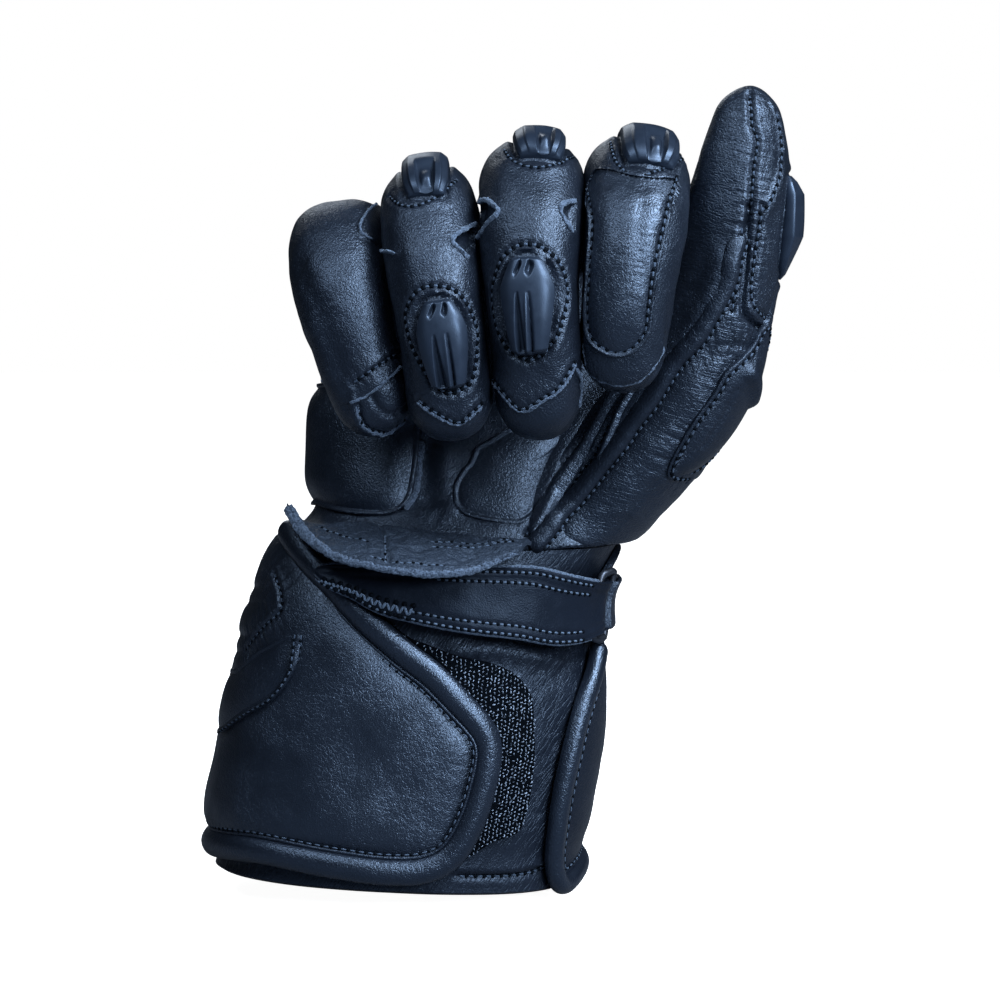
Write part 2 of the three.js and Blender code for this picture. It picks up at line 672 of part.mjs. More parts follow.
function cuffBack() {
  const seam = 360 + OUTER_SEAM - 0.4;
  const edge = besideRoll(BACK_EDGE, 1);
  const corners = [...edge, [seam, edge.at(-1)[1]], [seam, OUTER_TOP], [88, OUTER_TOP], [86, 66]];
  return largest(cuffLayer(corners, ON_INNER, ON_OUTER, OUTER_LEVELS));
}

// The loop patch lies on the cuff's inner layer, beside the flap
function loopPatch() {
  const corners = [...cornersOf(LOOP_EDGE), ...besideRoll(FLAP_EDGE.slice(4, 14), 1)];
  return largest(cuffLayer(corners, ON_INNER, ON_INNER + 1.1, OUTER_LEVELS));
}

// A band that turns back on itself round a wire. Each place on it has a point at the band's middle height,
// the angle that the band leans with, and its two edges' heights.
function foldedBand(places, thickness) {
  return sheet(places.length - 1, 1, (u, v, side) => {
    const i = Math.round(u * (places.length - 1));
    const [last, here, next] = [places[Math.max(i - 1, 0)], places[i], places[Math.min(i + 1, places.length - 1)]];
    const along = next.point.clone().sub(last.point).normalize();
    const z = lerp(here.low, here.high, v);
    const taper = onCuff(here.angle, z).sub(onCuff(here.angle, STRAP.level)).setZ(0);
    const normal = new THREE.Vector3(along.y, -along.x, 0);
    return here.point.clone().setZ(z).add(taper).addScaledVector(normal, (side - 0.5) * thickness);
  });
}

function bandPlaces(rows) {
  return rows.map((row) => ({ ...row, point: onCuff(row.angle, STRAP.level, row.out).setZ(0) }));
}

// Half a turn round a wire
function halfTurn({ centre, outward, forward }, radius, angle, [low, high]) {
  return [0, 36, 72, 108, 144, 180].map((turn) => ({
    angle,
    low,
    high,
    point: centre.clone()
      .addScaledVector(outward, radius * Math.cos(degToRad(turn)))
      .addScaledVector(forward, radius * Math.sin(degToRad(turn))),
  }));
}

// The two upright sides of the wire ring, at the strap's middle height
function wireSides() {
  const centre = onCuff(STRAP.foldAngle, STRAP.level, STRAP.wireOut).setZ(0);
  const forward = onCuff(STRAP.foldAngle + 2, STRAP.level, STRAP.wireOut)
    .sub(onCuff(STRAP.foldAngle - 2, STRAP.level, STRAP.wireOut)).normalize();
  const outward = new THREE.Vector3(forward.y, -forward.x, 0);
  const far = centre.clone().addScaledVector(forward, WIRE.width);
  return { near: { centre, outward, forward }, far: { centre: far, outward, forward: forward.clone().negate() } };
}

function wristStrap() {
  const turn = halfTurn(wireSides().near, STRAP.bend, STRAP.foldAngle, STRAP.edges);
  return foldedBand([...bandPlaces(STRAP_RUN), ...turn, ...bandPlaces(STRAP_RETURN)], STRAP.thickness);
}

// The leather tab that holds the ring's far side, sewn down on the back layer
function ringTab() {
  const [low, high] = TAB.edges;
  const leg = (angle, out) => ({ angle, low, high, point: onCuff(angle, STRAP.level, out).setZ(0) });
  const turn = halfTurn(wireSides().far, TAB.bend, STRAP.foldAngle, TAB.edges);
  const [inner, outer] = TAB.outs;
  const places = [
    leg(TAB.end, outer), leg(TAB.end - 9, outer), leg(TAB.end - 17, outer + 0.3), ...turn,
    leg(TAB.end - 17, inner + 0.2), leg(TAB.end - 9, inner), leg(TAB.end - 2, inner),
  ];
  return foldedBand(places, TAB.thickness);
}

function strapRing() {
  const { near, far } = wireSides();
  const lean = (z) => onCuff(STRAP.foldAngle, z).sub(onCuff(STRAP.foldAngle, STRAP.level)).setZ(0);
  const at = (share, z) => near.centre.clone().lerp(far.centre, share).setZ(z).add(lean(z));
  const { low, high, corner } = WIRE;
  const path = [
    at(0, low + corner), at(0, high - corner), at(0.3, high), at(0.7, high),
    at(1, high - corner), at(1, low + corner), at(0.7, low), at(0.3, low),
  ];
  const across = far.centre.clone().sub(near.centre).cross(new THREE.Vector3(0, 0, 1)).normalize();
  const rings = path.map((point, i) => {
    const along = path[(i + 1) % path.length].clone().sub(path[(i + path.length - 1) % path.length]).normalize();
    const inward = along.clone().cross(across);
    return ringOf(6, (angle) => point.clone()
      .addScaledVector(across, WIRE.radius * Math.cos(degToRad(angle)))
      .addScaledVector(inward, WIRE.radius * Math.sin(degToRad(angle))));
  });
  return loft(rings, { loop: true });
}

function heelTongue() {
  const tongue = sheet(12, 3, (u, v, side) => {
    const row = rowAt(HEEL_TONGUE, 'u', u);
    const root = bodyPoint(HAND, row.rootAngle, row.rootZ, GAP + 0.7);
    const bow = 1.6 * Math.sin(v * Math.PI);
    const thickness = lerp(1, 2.2, v);
    return root.lerp(new THREE.Vector3(row.x, row.y, row.z), v)
      .add(new THREE.Vector3(0, -bow * 0.5, bow + (side - 0.5) * thickness));
  });
  return largest(tongue.subtract(handOuter(GAP, HAND[0].z - 2)));
}

function thumbWelt() {
  const { thumb } = stalls;
  const corners = THUMB_WELT.map(([s, angle]) => [angle, s]);
  const welt = laidBar((angle, s, out) => thumb.point(s, angle, out - GAP), corners, WELT, 18);
  return largest(welt.subtract(thumb.outer(GAP)).subtract(handOuter(GAP)));
}

// Finishes of the real materials
const leather = new THREE.MeshStandardMaterial({ color: 0x141a24, roughness: 0.46, metalness: 0 });
const smoothLeather = new THREE.MeshStandardMaterial({ color: 0x10161f, roughness: 0.36, metalness: 0 });
const hardPlastic = new THREE.MeshStandardMaterial({ color: 0x171c25, roughness: 0.3, metalness: 0 });
const loopFabric = new THREE.MeshStandardMaterial({ color: 0x0d1016, roughness: 0.95, metalness: 0 });
const wire = new THREE.MeshStandardMaterial({ color: 0x30343c, roughness: 0.3, metalness: 0.9 });

const glove = new THREE.Group();

function add(name, solid, material) {
  const mesh = new THREE.Mesh(geometryFrom(solid), material);
  mesh.name = name;
  glove.add(mesh);
}

for (const [name, solid] of Object.entries(handPanels())) add(name, solid, leather);
for (const [name, solid] of Object.entries(stallSolids())) add(name, solid, leather);
for (const [name, row] of Object.entries(SLIDERS)) add(name, slider(row), hardPlastic);
for (const [name, row] of Object.entries(STALL_PATCHES)) add(name, stallPatch(row), smoothLeather);
for (const [name, row] of Object.entries(BODY_PATCHES)) add(name, bodyPatch(row), smoothLeather);
add('cuff_inner', cuffInner(), leather);
add('cuff_flap', cuffFlap(), smoothLeather);
add('cuff_back', cuffBack(), smoothLeather);
add('flap_roll', flapRoll(), smoothLeather);
add('back_roll', backRoll(), smoothLeather);
add('loop_patch', loopPatch(), loopFabric);
add('wrist_strap', wristStrap(), smoothLeather);
add('strap_ring', strapRing(), wire);
add('ring_tab', ringTab(), smoothLeather);
add('heel_tongue', heelTongue(), leather);
add('thumb_welt', thumbWelt(), leather);

export default glove;
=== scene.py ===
"""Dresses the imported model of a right-hand leather motorcycle glove.

Every surface repeats the sections that the solids are made from, at a fine spacing. Seams, folds and pads are
pressed into it along lines read off the photograph, so they lie on the surface that carries them.
Lengths are millimetres until a mesh is made, and metres in Blender. Angles are degrees.
"""
import logging
import math
from collections.abc import Callable, Sequence
from dataclasses import dataclass, field
from enum import Enum

import bpy
import numpy as np
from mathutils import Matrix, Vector
from mathutils.bvhtree import BVHTree


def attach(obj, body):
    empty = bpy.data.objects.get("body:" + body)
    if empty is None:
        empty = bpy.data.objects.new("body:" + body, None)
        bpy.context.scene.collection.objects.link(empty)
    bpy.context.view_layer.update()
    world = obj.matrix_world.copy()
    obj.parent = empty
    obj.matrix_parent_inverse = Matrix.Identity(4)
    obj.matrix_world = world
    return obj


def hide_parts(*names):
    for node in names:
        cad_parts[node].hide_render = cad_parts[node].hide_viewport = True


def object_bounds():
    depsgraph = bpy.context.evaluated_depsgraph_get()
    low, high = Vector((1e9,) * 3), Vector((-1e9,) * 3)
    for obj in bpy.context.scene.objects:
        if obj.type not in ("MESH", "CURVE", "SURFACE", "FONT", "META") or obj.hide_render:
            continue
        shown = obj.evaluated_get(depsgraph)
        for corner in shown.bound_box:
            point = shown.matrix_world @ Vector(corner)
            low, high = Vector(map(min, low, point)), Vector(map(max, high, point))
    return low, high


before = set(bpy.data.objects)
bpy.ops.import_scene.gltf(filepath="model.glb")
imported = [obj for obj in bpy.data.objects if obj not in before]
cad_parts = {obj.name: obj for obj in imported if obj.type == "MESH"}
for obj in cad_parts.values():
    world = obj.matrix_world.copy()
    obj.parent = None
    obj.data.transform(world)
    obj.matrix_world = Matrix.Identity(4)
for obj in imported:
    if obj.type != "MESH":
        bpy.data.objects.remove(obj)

LOG = logging.getLogger("glove")
Array = np.ndarray
# Pairs: a line's pixels in the photograph, or its angles and heights on a surface
Pixels = Sequence[tuple[float, float]]
Colour = tuple[float, float, float]

# Metres in a millimetre, a wall's thickness, the gap between neighbours, and how square an oval section is,
# where 2 is an ellipse
MM = 0.001
WALL = 2.2
GAP = 0.35
ROUNDNESS = 2.35
CAD_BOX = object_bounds()


def power(value: Array, exponent: float) -> Array:
    """Returns a signed power of each value."""
    return np.sign(value) * np.abs(value) ** exponent


def unit(vectors: Array) -> Array:
    """Returns the vectors at length one."""
    return vectors / np.maximum(np.linalg.norm(vectors, axis=-1, keepdims=True), 1e-9)


def smooth(value: Array, low: float, high: float) -> Array:
    """Returns 0 below low, 1 above high and a smooth step between."""
    t = np.clip((value - low) / (high - low), 0, 1)
    return t * t * (3 - 2 * t)


def lerp(start: float, end: float, share: Array) -> Array:
    """Returns the value at a share of the way from start to end."""
    return start + (end - start) * share


def run_along(points: Array) -> Array:
    """Returns each point's distance along a line of points."""
    return np.concatenate([[0], np.cumsum(np.linalg.norm(np.diff(points, axis=0), axis=1))])


def read_along(stops: Array, run: Array, data: Array) -> Array:
    """Returns the data's rows at distances along a line."""
    return np.stack([np.interp(stops, run, column) for column in data.T], -1)


def nearest_on(points: Array, line: Array) -> tuple[Array, Array]:
    """Finds the place on a line that is nearest to each point.

    Args:
        points: The points.
        line: The line's points.

    Returns:
        The number of the line's nearest point, and the distance to it.
    """
    chunk = 4000
    numbers, gaps = np.zeros(len(points), int), np.zeros(len(points))
    for start in range(0, len(points), chunk):
        span = slice(start, start + chunk)
        apart = np.linalg.norm(points[span][:, None] - line[None], axis=-1)
        numbers[span], gaps[span] = apart.argmin(1), apart.min(1)
    return numbers, gaps


class Rows:
    """A table with named columns, read on a smooth curve through its rows."""

    def __init__(self, names: str, *rows: tuple[float, ...]) -> None:
        """Keeps each column under its name.

        Args:
            names: The columns' names, with spaces between.
            rows: The rows, a number for each column.
        """
        self.columns = dict(zip(names.split(), np.array(rows, float).T.copy()))

    def at(self, name: str, value: Array) -> dict[str, Array]:
        """Reads all columns where one of them has a value.

        Args:
            name: The column that the value belongs to.
            value: One value or an array of them.

        Returns:
            Each column's value there.
        """
        key = self.columns[name]
        last = len(key) - 1
        value = np.asarray(value, float)
        i = np.clip(np.searchsorted(key, value) - 1, 0, last - 1)
        before, after = np.maximum(i - 1, 0), np.minimum(i + 2, last)
        step = key[i + 1] - key[i]
        t = (value - key[i]) / step
        read = {}
        for column, data in self.columns.items():
            leave = (data[i + 1] - data[before]) / (key[i + 1] - key[before])
            arrive = (data[after] - data[i]) / (key[after] - key[i])
            read[column] = (
                data[i] * (2 * t**3 - 3 * t**2 + 1)
                + data[i + 1] * (3 * t**2 - 2 * t**3)
                + step * (leave * (t**3 - 2 * t**2 + t) + arrive * (t**3 - t**2))
            )
        return read


class Body:
    """The cuff or the hand: oval sections at heights."""

    def __init__(self, rows: Rows) -> None:
        """Keeps the sections' table, with columns z, x, y, a and b."""
        self.rows = rows

    def point(self, angle: Array, z: Array, out: Array = 0.0) -> Array:
        """Gives points on the surface.

        Args:
            angle: Angle from the palm side towards the thumb.
            z: Height.
            out: Distance out of the surface.

        Returns:
            The points.
        """
        row = self.rows.at("z", z)
        turn = np.radians(angle)
        x = row["x"] + (row["a"] + out) * power(np.sin(turn), 2 / ROUNDNESS)
        y = row["y"] - (row["b"] + out) * power(np.cos(turn), 2 / ROUNDNESS)
        return np.stack(np.broadcast_arrays(x, y, np.asarray(z, float)), -1)


class Stall:
    """A finger or the thumb: oval sections square to a curved centreline, with a rounded end."""

    def __init__(self, side: tuple[float, float, float], round_length: float, rows: Rows) -> None:
        """Measures the centreline.

        Args:
            side: Direction across the stall.
            round_length: Length of the rounded end.
            rows: Sections with columns x, y, z, w and d.
        """
        self.side = unit(np.array(side, float))
        self.round = round_length
        self.rows = rows
        places = np.stack([rows.columns[axis] for axis in "xyz"], -1)
        rows.columns["s"] = run_along(places)
        self.length = float(rows.columns["s"][-1])

    def centre(self, s: Array) -> Array:
        """Returns the centreline's points at distances along it."""
        row = self.rows.at("s", s)
        return np.stack([row["x"], row["y"], row["z"]], -1)

    def point(self, s: Array, angle: Array, out: Array = 0.0) -> Array:
        """Gives points on the surface.

        Args:
            s: Distance along the stall.
            angle: Angle round it from its back.
            out: Distance out of the surface.

        Returns:
            The points.
        """
        s, angle, out = np.broadcast_arrays(np.asarray(s, float), angle, out)
        row = self.rows.at("s", s)
        along = unit(self.centre(s + 1) - self.centre(s - 1))
        across = unit(self.side - along * (along @ self.side)[..., None])
        back = np.cross(along, across)
        into = np.clip((s - (self.length - self.round)) / (self.round + out), 0, 1)
        full = np.sqrt(1 - into**2)
        turn = np.radians(angle)
        wide = (row["w"] + out) * full * power(np.sin(turn), 2 / ROUNDNESS)
        deep = (row["d"] + out) * full * power(np.cos(turn), 2 / ROUNDNESS)
        return self.centre(s) + across * wide[..., None] + back * deep[..., None]


CUFF = Body(Rows(
    "z x y a b",
    (-6, -3.9, 0, 46.9, 35.6),
    (7, -1.4, 0, 46.4, 35.9),
    (15, -0.7, 0, 48, 36.4),
    (36, 2.8, 0, 48, 35.8),
    (58, 5.2, 0, 45.4, 33.5),
    (66, 5.8, 0, 43.6, 32.2),
    (74, 7.2, 0, 42.8, 31),
    (86, 12.2, 0, 44.1, 28.5),
    (96, 16.5, 0, 44, 26.5),
))
HAND = Body(Rows(
    "z x y a b",
    (86.35, 12.2, 0, 44.1, 28.5),
    (94, 18.2, 2, 41.8, 25.5),
    (104, 20, 4, 42, 23),
    (118, 21.5, 6.5, 43, 21.5),
    (134, 23.5, 8.5, 45, 20),
    (150, 25, 9.6, 47, 18.5),
    (160, 26, 10, 47.2, 17),
))
HAND_FOOT, HAND_HEAD, HAND_CROWN = 86.35, 160.0, 12.0
STALLS = {
    "little_finger": Stall((1, 0, 0.12), 10, Rows(
        "x y z w d",
        (-10, 12, 142, 10.5, 12),
        (-12, -9, 156, 12.4, 12.6),
        (-14, -26, 162.5, 13.4, 13),
        (-14.4, -38.5, 154, 12.2, 12),
        (-11.4, -43.5, 141, 10.8, 11),
        (-7.2, -43, 129, 10, 10.4),
        (-3.2, -39, 117, 9.4, 9.4),
    )),
    "ring_finger": Stall((1, 0, 0.14), 11, Rows(
        "x y z w d",
        (11, 10, 150, 10.2, 11.4),
        (9.2, -14, 166.5, 11.6, 12.4),
        (8, -34, 171.5, 12, 12.8),
        (8.6, -47.5, 161, 11.6, 12),
        (11, -52, 145, 11, 11.6),
        (12.8, -50, 130.5, 10.7, 11),
        (14.2, -45, 116, 10.2, 10),
    )),
    "middle_finger": Stall((1, 0, 0.02), 11, Rows(
        "x y z w d",
        (32.5, 10, 153, 10.4, 11.6),
        (33.2, -14, 171.5, 12.4, 12.6),
        (33.6, -36, 177.5, 13.2, 13),
        (33.4, -49.5, 166, 12.6, 12.6),
        (33.8, -54, 148.5, 11.4, 11.8),
        (35, -51.5, 132.5, 10.9, 11),
        (36.2, -46, 116.5, 10.4, 10),
    )),
    "index_finger": Stall((1, 0, -0.1), 11, Rows(
        "x y z w d",
        (54, 10, 154, 10.4, 11.6),
        (57.6, -14, 172.5, 12, 12.6),
        (60, -35, 178.5, 13.2, 13),
        (59.6, -48, 169.5, 12.7, 12.4),
        (57.6, -52.5, 155, 11.6, 11.8),
        (56.4, -50.5, 142, 10.8, 11),
        (55.6, -46, 128, 10, 10),
    )),
    "thumb": Stall((0.86, -0.5, -0.1), 6.5, Rows(
        "x y z w d",
        (36, -4, 78, 12, 15),
        (50.5, -7, 97, 14, 16.5),
        (64.5, -13, 114.5, 15.2, 16.4),
        (76, -19.5, 134, 15, 14.6),
        (82, -24, 155, 14.2, 13.2),
        (86.4, -26, 176, 12.8, 12.2),
        (88.2, -26.5, 192, 9.4, 10.2),
        (89.2, -26, 204, 5.6, 6.4),
    )),
}


@dataclass(frozen=True)
class Viewpoint:
    """Where the photograph was taken from, which turns its pixels into lines of sight."""

    target: tuple[float, float, float] = (25.7, 0.0, 97.0)
    distance: float = 1000.0
    elevation: float = 4.5
    width: float = 262.0
    pixels: float = 1000.0

    @property
    def axes(self) -> tuple[Array, Array, Array]:
        """The directions to the right, up and forwards."""
        tilt = math.radians(self.elevation)
        right = np.array([1.0, 0, 0])
        above = np.array([0, math.sin(tilt), math.cos(tilt)])
        return right, above, np.array([0, math.cos(tilt), -math.sin(tilt)])

    @property
    def eye(self) -> Array:
        """The camera's place."""
        return np.array(self.target) - self.distance * self.axes[2]

    def rays(self, pixels: Array) -> Array:
        """Returns the direction of each pixel's line of sight."""
        right, above, forwards = self.axes
        step = self.width / self.pixels
        centred = (np.asarray(pixels, float) - self.pixels / 2) * step
        return unit(forwards * self.distance + centred[:, :1] * right - centred[:, 1:] * above)

    def project(self, points: Array) -> Array:
        """Returns the pixels where points are seen.

        Args:
            points: Places in the scene, in metres.

        Returns:
            A pixel, right and down, for each point.
        """
        right, above, forwards = self.axes
        offset = np.asarray(points, float) - np.array(self.target)
        scale = self.distance / (self.distance + offset @ forwards) / (self.width / self.pixels)
        centre = self.pixels / 2
        return np.stack([centre + offset @ right * scale, centre - offset @ above * scale], -1)


VIEW = Viewpoint()


class Noise:
    """Smooth noise in space, the same on each run."""

    def __init__(self, seed: int) -> None:
        """Fills the tables from a fixed seed."""
        random = np.random.default_rng(seed)
        self.order = random.permutation(256)
        self.slopes = unit(random.normal(size=(256, 3)))

    def at(self, points: Array, size: float) -> Array:
        """Reads the noise.

        Args:
            points: Places, in millimetres.
            size: Rough width of a bump.

        Returns:
            A value for each point, about -0.7 to 0.7.
        """
        places = np.asarray(points, float) / size
        cell = np.floor(places).astype(int)
        part = places - cell
        ease = part**3 * (part * (part * 6 - 15) + 10)
        total = np.zeros(places.shape[:-1])
        for corner in np.ndindex(2, 2, 2):
            x, y, z = np.moveaxis((cell + corner) & 255, -1, 0)
            slope = self.slopes[self.order[(self.order[(self.order[x] + y) & 255] + z) & 255]]
            weight = np.prod(np.where(corner, ease, 1 - ease), axis=-1)
            total += weight * np.sum(slope * (part - corner), axis=-1)
        return total


SOFTNESS = Noise(seed=7)


def even_line(corners: Array, spacing: float, closed: bool = False) -> Array:
    """Draws a smooth curve through corners and divides it evenly.

    Args:
        corners: The corners, one a row.
        spacing: Distance between the points that come out.
        closed: Whether the line joins up with its start.

    Returns:
        The points, one a row, without the start again at the end of a closed line.
    """
    corners = np.asarray(corners, float)
    count = len(corners)
    spans = count if closed else count - 1
    pieces = []
    t = np.linspace(0, 1, 24, endpoint=False)[:, None]
    for i in range(spans):
        picks = [(i + k) % count if closed else min(max(i + k, 0), count - 1) for k in (-1, 0, 1, 2)]
        a, b, c, d = corners[picks]
        bend = (2 * a - 5 * b + 4 * c - d) * t**2 + (3 * b - a - 3 * c + d) * t**3
        pieces.append(0.5 * (2 * b + (c - a) * t + bend))
    pieces.append(corners[:1] if closed else corners[-1:])
    fine = np.concatenate(pieces)
    run = run_along(fine)
    steps = max(int(round(run[-1] / spacing)), 3)
    stops = np.linspace(0, run[-1], steps + 1)
    even = read_along(stops, run, fine)
    return even[:-1] if closed else even


@dataclass
class Path:
    """A line on a surface, with the surface's outward direction at each point."""

    points: Array
    normals: Array
    closed: bool = False

    @property
    def tangents(self) -> Array:
        """The line's direction at each point."""
        if self.closed:
            return unit(np.roll(self.points, -1, axis=0) - np.roll(self.points, 1, axis=0))
        return unit(np.gradient(self.points, axis=0))

    @property
    def lefts(self) -> Array:
        """The direction to the left of the line, seen from outside."""
        return unit(np.cross(self.normals, self.tangents))

    @property
    def run(self) -> Array:
        """Each point's distance along the line."""
        return run_along(self.points)

    def beside(self, left: float, out: float = 0.0) -> "Path":
        """Returns the line moved to its left and outwards."""
        return Path(self.points + self.lefts * left + self.normals * out, self.normals, self.closed)

    def part(self, start: float, end: float) -> "Path":
        """Returns the part of the line between two shares of its length."""
        last = len(self.points) - 1
        span = slice(int(round(start * last)), int(round(end * last)) + 1)
        return Path(self.points[span], self.normals[span])

    def softened(self, times: int) -> "Path":
        """Returns the line with small kinks averaged away.

        Args:
            times: How many times the line is averaged.

        Returns:
            The softened line.
        """
        points, normals = self.points.copy(), self.normals.copy()
        for _ in range(times):
            for data in (points, normals):
                padded = np.pad(data, ((1, 1), (0, 0)), "wrap" if self.closed else "edge")
                mean = (padded[:-2] + 2 * padded[1:-1] + padded[2:]) / 4
                data[:] = mean
                if not self.closed:
                    data[0], data[-1] = padded[1], padded[-2]
        return Path(points, unit(normals), self.closed)


@dataclass
class Hull:
    """A mesh as points and faces of three or four corners."""

    points: Array
    faces: list[Array]

    def outward(self) -> "Hull":
        """Returns the closed mesh with its faces turned outwards."""
        volume = 0.0
        for face in self.faces:
            a, b, c = (self.points[face[:, k]] for k in (0, 1, 2))
            volume += np.sum(a * np.cross(b, c))
            if face.shape[1] == 4:
                d = self.points[face[:, 3]]
                volume += np.sum(a * np.cross(c, d))
        if volume >= 0:
            return self
        return Hull(self.points, [face[:, ::-1] for face in self.faces])

    @staticmethod
    def joined(hulls: "Sequence[Hull]") -> "Hull":
        """Returns several meshes as one.

        Args:
            hulls: The meshes.

        Returns:
            One mesh with all of their points and faces.
        """
        points, faces, start = [], [], 0
        for hull in hulls:
            points.append(hull.points)
            faces += [face + start for face in hull.faces]
            start += len(hull.points)
        return Hull(np.concatenate(points), faces)


def grid_faces(rows: int, columns: int, wrap_rows: bool = False, wrap_columns: bool = False) -> Array:
    """Returns the corners of the faces between rows and columns of points.

    Args:
        rows: Number of rows.
        columns: Number of points in a row.
        wrap_rows: Whether the last row joins the first.
        wrap_columns: Whether the last column joins the first.

    Returns:
        Four point numbers for each face.
    """
    i, k = np.meshgrid(np.arange(rows if wrap_rows else rows - 1),
                       np.arange(columns if wrap_columns else columns - 1), indexing="ij")
    below, beside = (i + 1) % rows, (k + 1) % columns
    corners = [i * columns + k, i * columns + beside, below * columns + beside, below * columns + k]
    return np.stack(corners, -1).reshape(-1, 4)


def closed_rings(rings: Array, start: Array | None = None, end: Array | None = None) -> Hull:
    """Joins rings of points into a closed mesh with a fan at each end.

    Args:
        rings: The points, as rings by points by three.
        start: The first fan's middle, or the first ring's own.
        end: The last fan's middle, or the last ring's own.

    Returns:
        The mesh, turned outwards.
    """
    count, around = rings.shape[:2]
    first = rings[0].mean(0) if start is None else start
    last = rings[-1].mean(0) if end is None else end
    points = np.concatenate([rings.reshape(-1, 3), [first, last]])
    k = np.arange(around)
    beside = (k + 1) % around
    base = (count - 1) * around
    fans = np.concatenate([
        np.stack([np.full(around, count * around), beside, k], -1),
        np.stack([np.full(around, count * around + 1), base + k, base + beside], -1),
    ])
    return Hull(points, [grid_faces(count, around, wrap_columns=True), fans]).outward()


def swept(path: Path, section: Array, taper: float = 0.0, swell: Array | None = None) -> Hull:
    """Sweeps a closed section along a line on a surface.

    Args:
        path: The line.
        section: The section's points: to the left, and outwards.
        taper: Length over which the open ends round off.
        swell: The section's size at each point of the line.

    Returns:
        The mesh.
    """
    size = np.ones(len(path.points)) if swell is None else swell.copy()
    if taper and not path.closed:
        ends = np.minimum(path.run, path.run[-1] - path.run)
        size *= np.sqrt(1 - (1 - np.clip(ends / taper, 0.02, 1)) ** 2)
    lefts = path.lefts
    outs = np.cross(path.tangents, lefts)
    across = section[:, 0][None, :, None] * lefts[:, None, :]
    upward = section[:, 1][None, :, None] * outs[:, None, :]
    rings = path.points[:, None, :] + (across + upward) * size[:, None, None]
    if path.closed:
        count, around = rings.shape[:2]
        return Hull(rings.reshape(-1, 3), [grid_faces(count, around, True, True)]).outward()
    return closed_rings(rings)


def frayed(hull: Hull, depth: float, size: float) -> Hull:
    """Returns a mesh with its surface pushed about by fine noise, as the cut edge of leather is."""
    fuzz = np.stack([SOFTNESS.at(hull.points + at, size) for at in (0, 40, 80)], -1)
    return Hull(hull.points + depth * fuzz, hull.faces)


def oval(half_width: float, half_depth: float, count: int, lift: float = 0.0,
         bend: tuple[float, float] = (1.0, 1.0)) -> Array:
    """Makes an oval section.

    Args:
        half_width: Half its width.
        half_depth: Half its height.
        count: Its points.
        lift: Height of its middle over the surface.
        bend: Powers below 1 square it off, above 1 pinch it, across and upwards.

    Returns:
        Its points: to the left, and outwards.
    """
    turn = np.linspace(0, 2 * np.pi, count, endpoint=False)
    return np.stack([half_width * power(np.cos(turn), bend[0]),
                     half_depth * power(np.sin(turn), bend[1]) + lift], -1)


class Fold(Enum):
    """How a seam shapes the leather beside it."""

    GROOVE = "groove"
    RIDGE = "ridge"
    LAP = "lap"
    SEWN = "sewn"


def within(polygon: Array, points: Array) -> Array:
    """Tells which points of a plane lie inside a polygon.

    Args:
        polygon: The polygon's corners.
        points: The points to test.

    Returns:
        True for each point inside.
    """
    inside = np.zeros(len(points), bool)
    x, y = points.T
    for (x0, y0), (x1, y1) in zip(polygon, np.roll(polygon, -1, axis=0)):
        if y0 != y1:
            crosses = (y0 > y) != (y1 > y)
            inside ^= crosses & (x < (x1 - x0) * (y - y0) / (y1 - y0) + x0)
    return inside


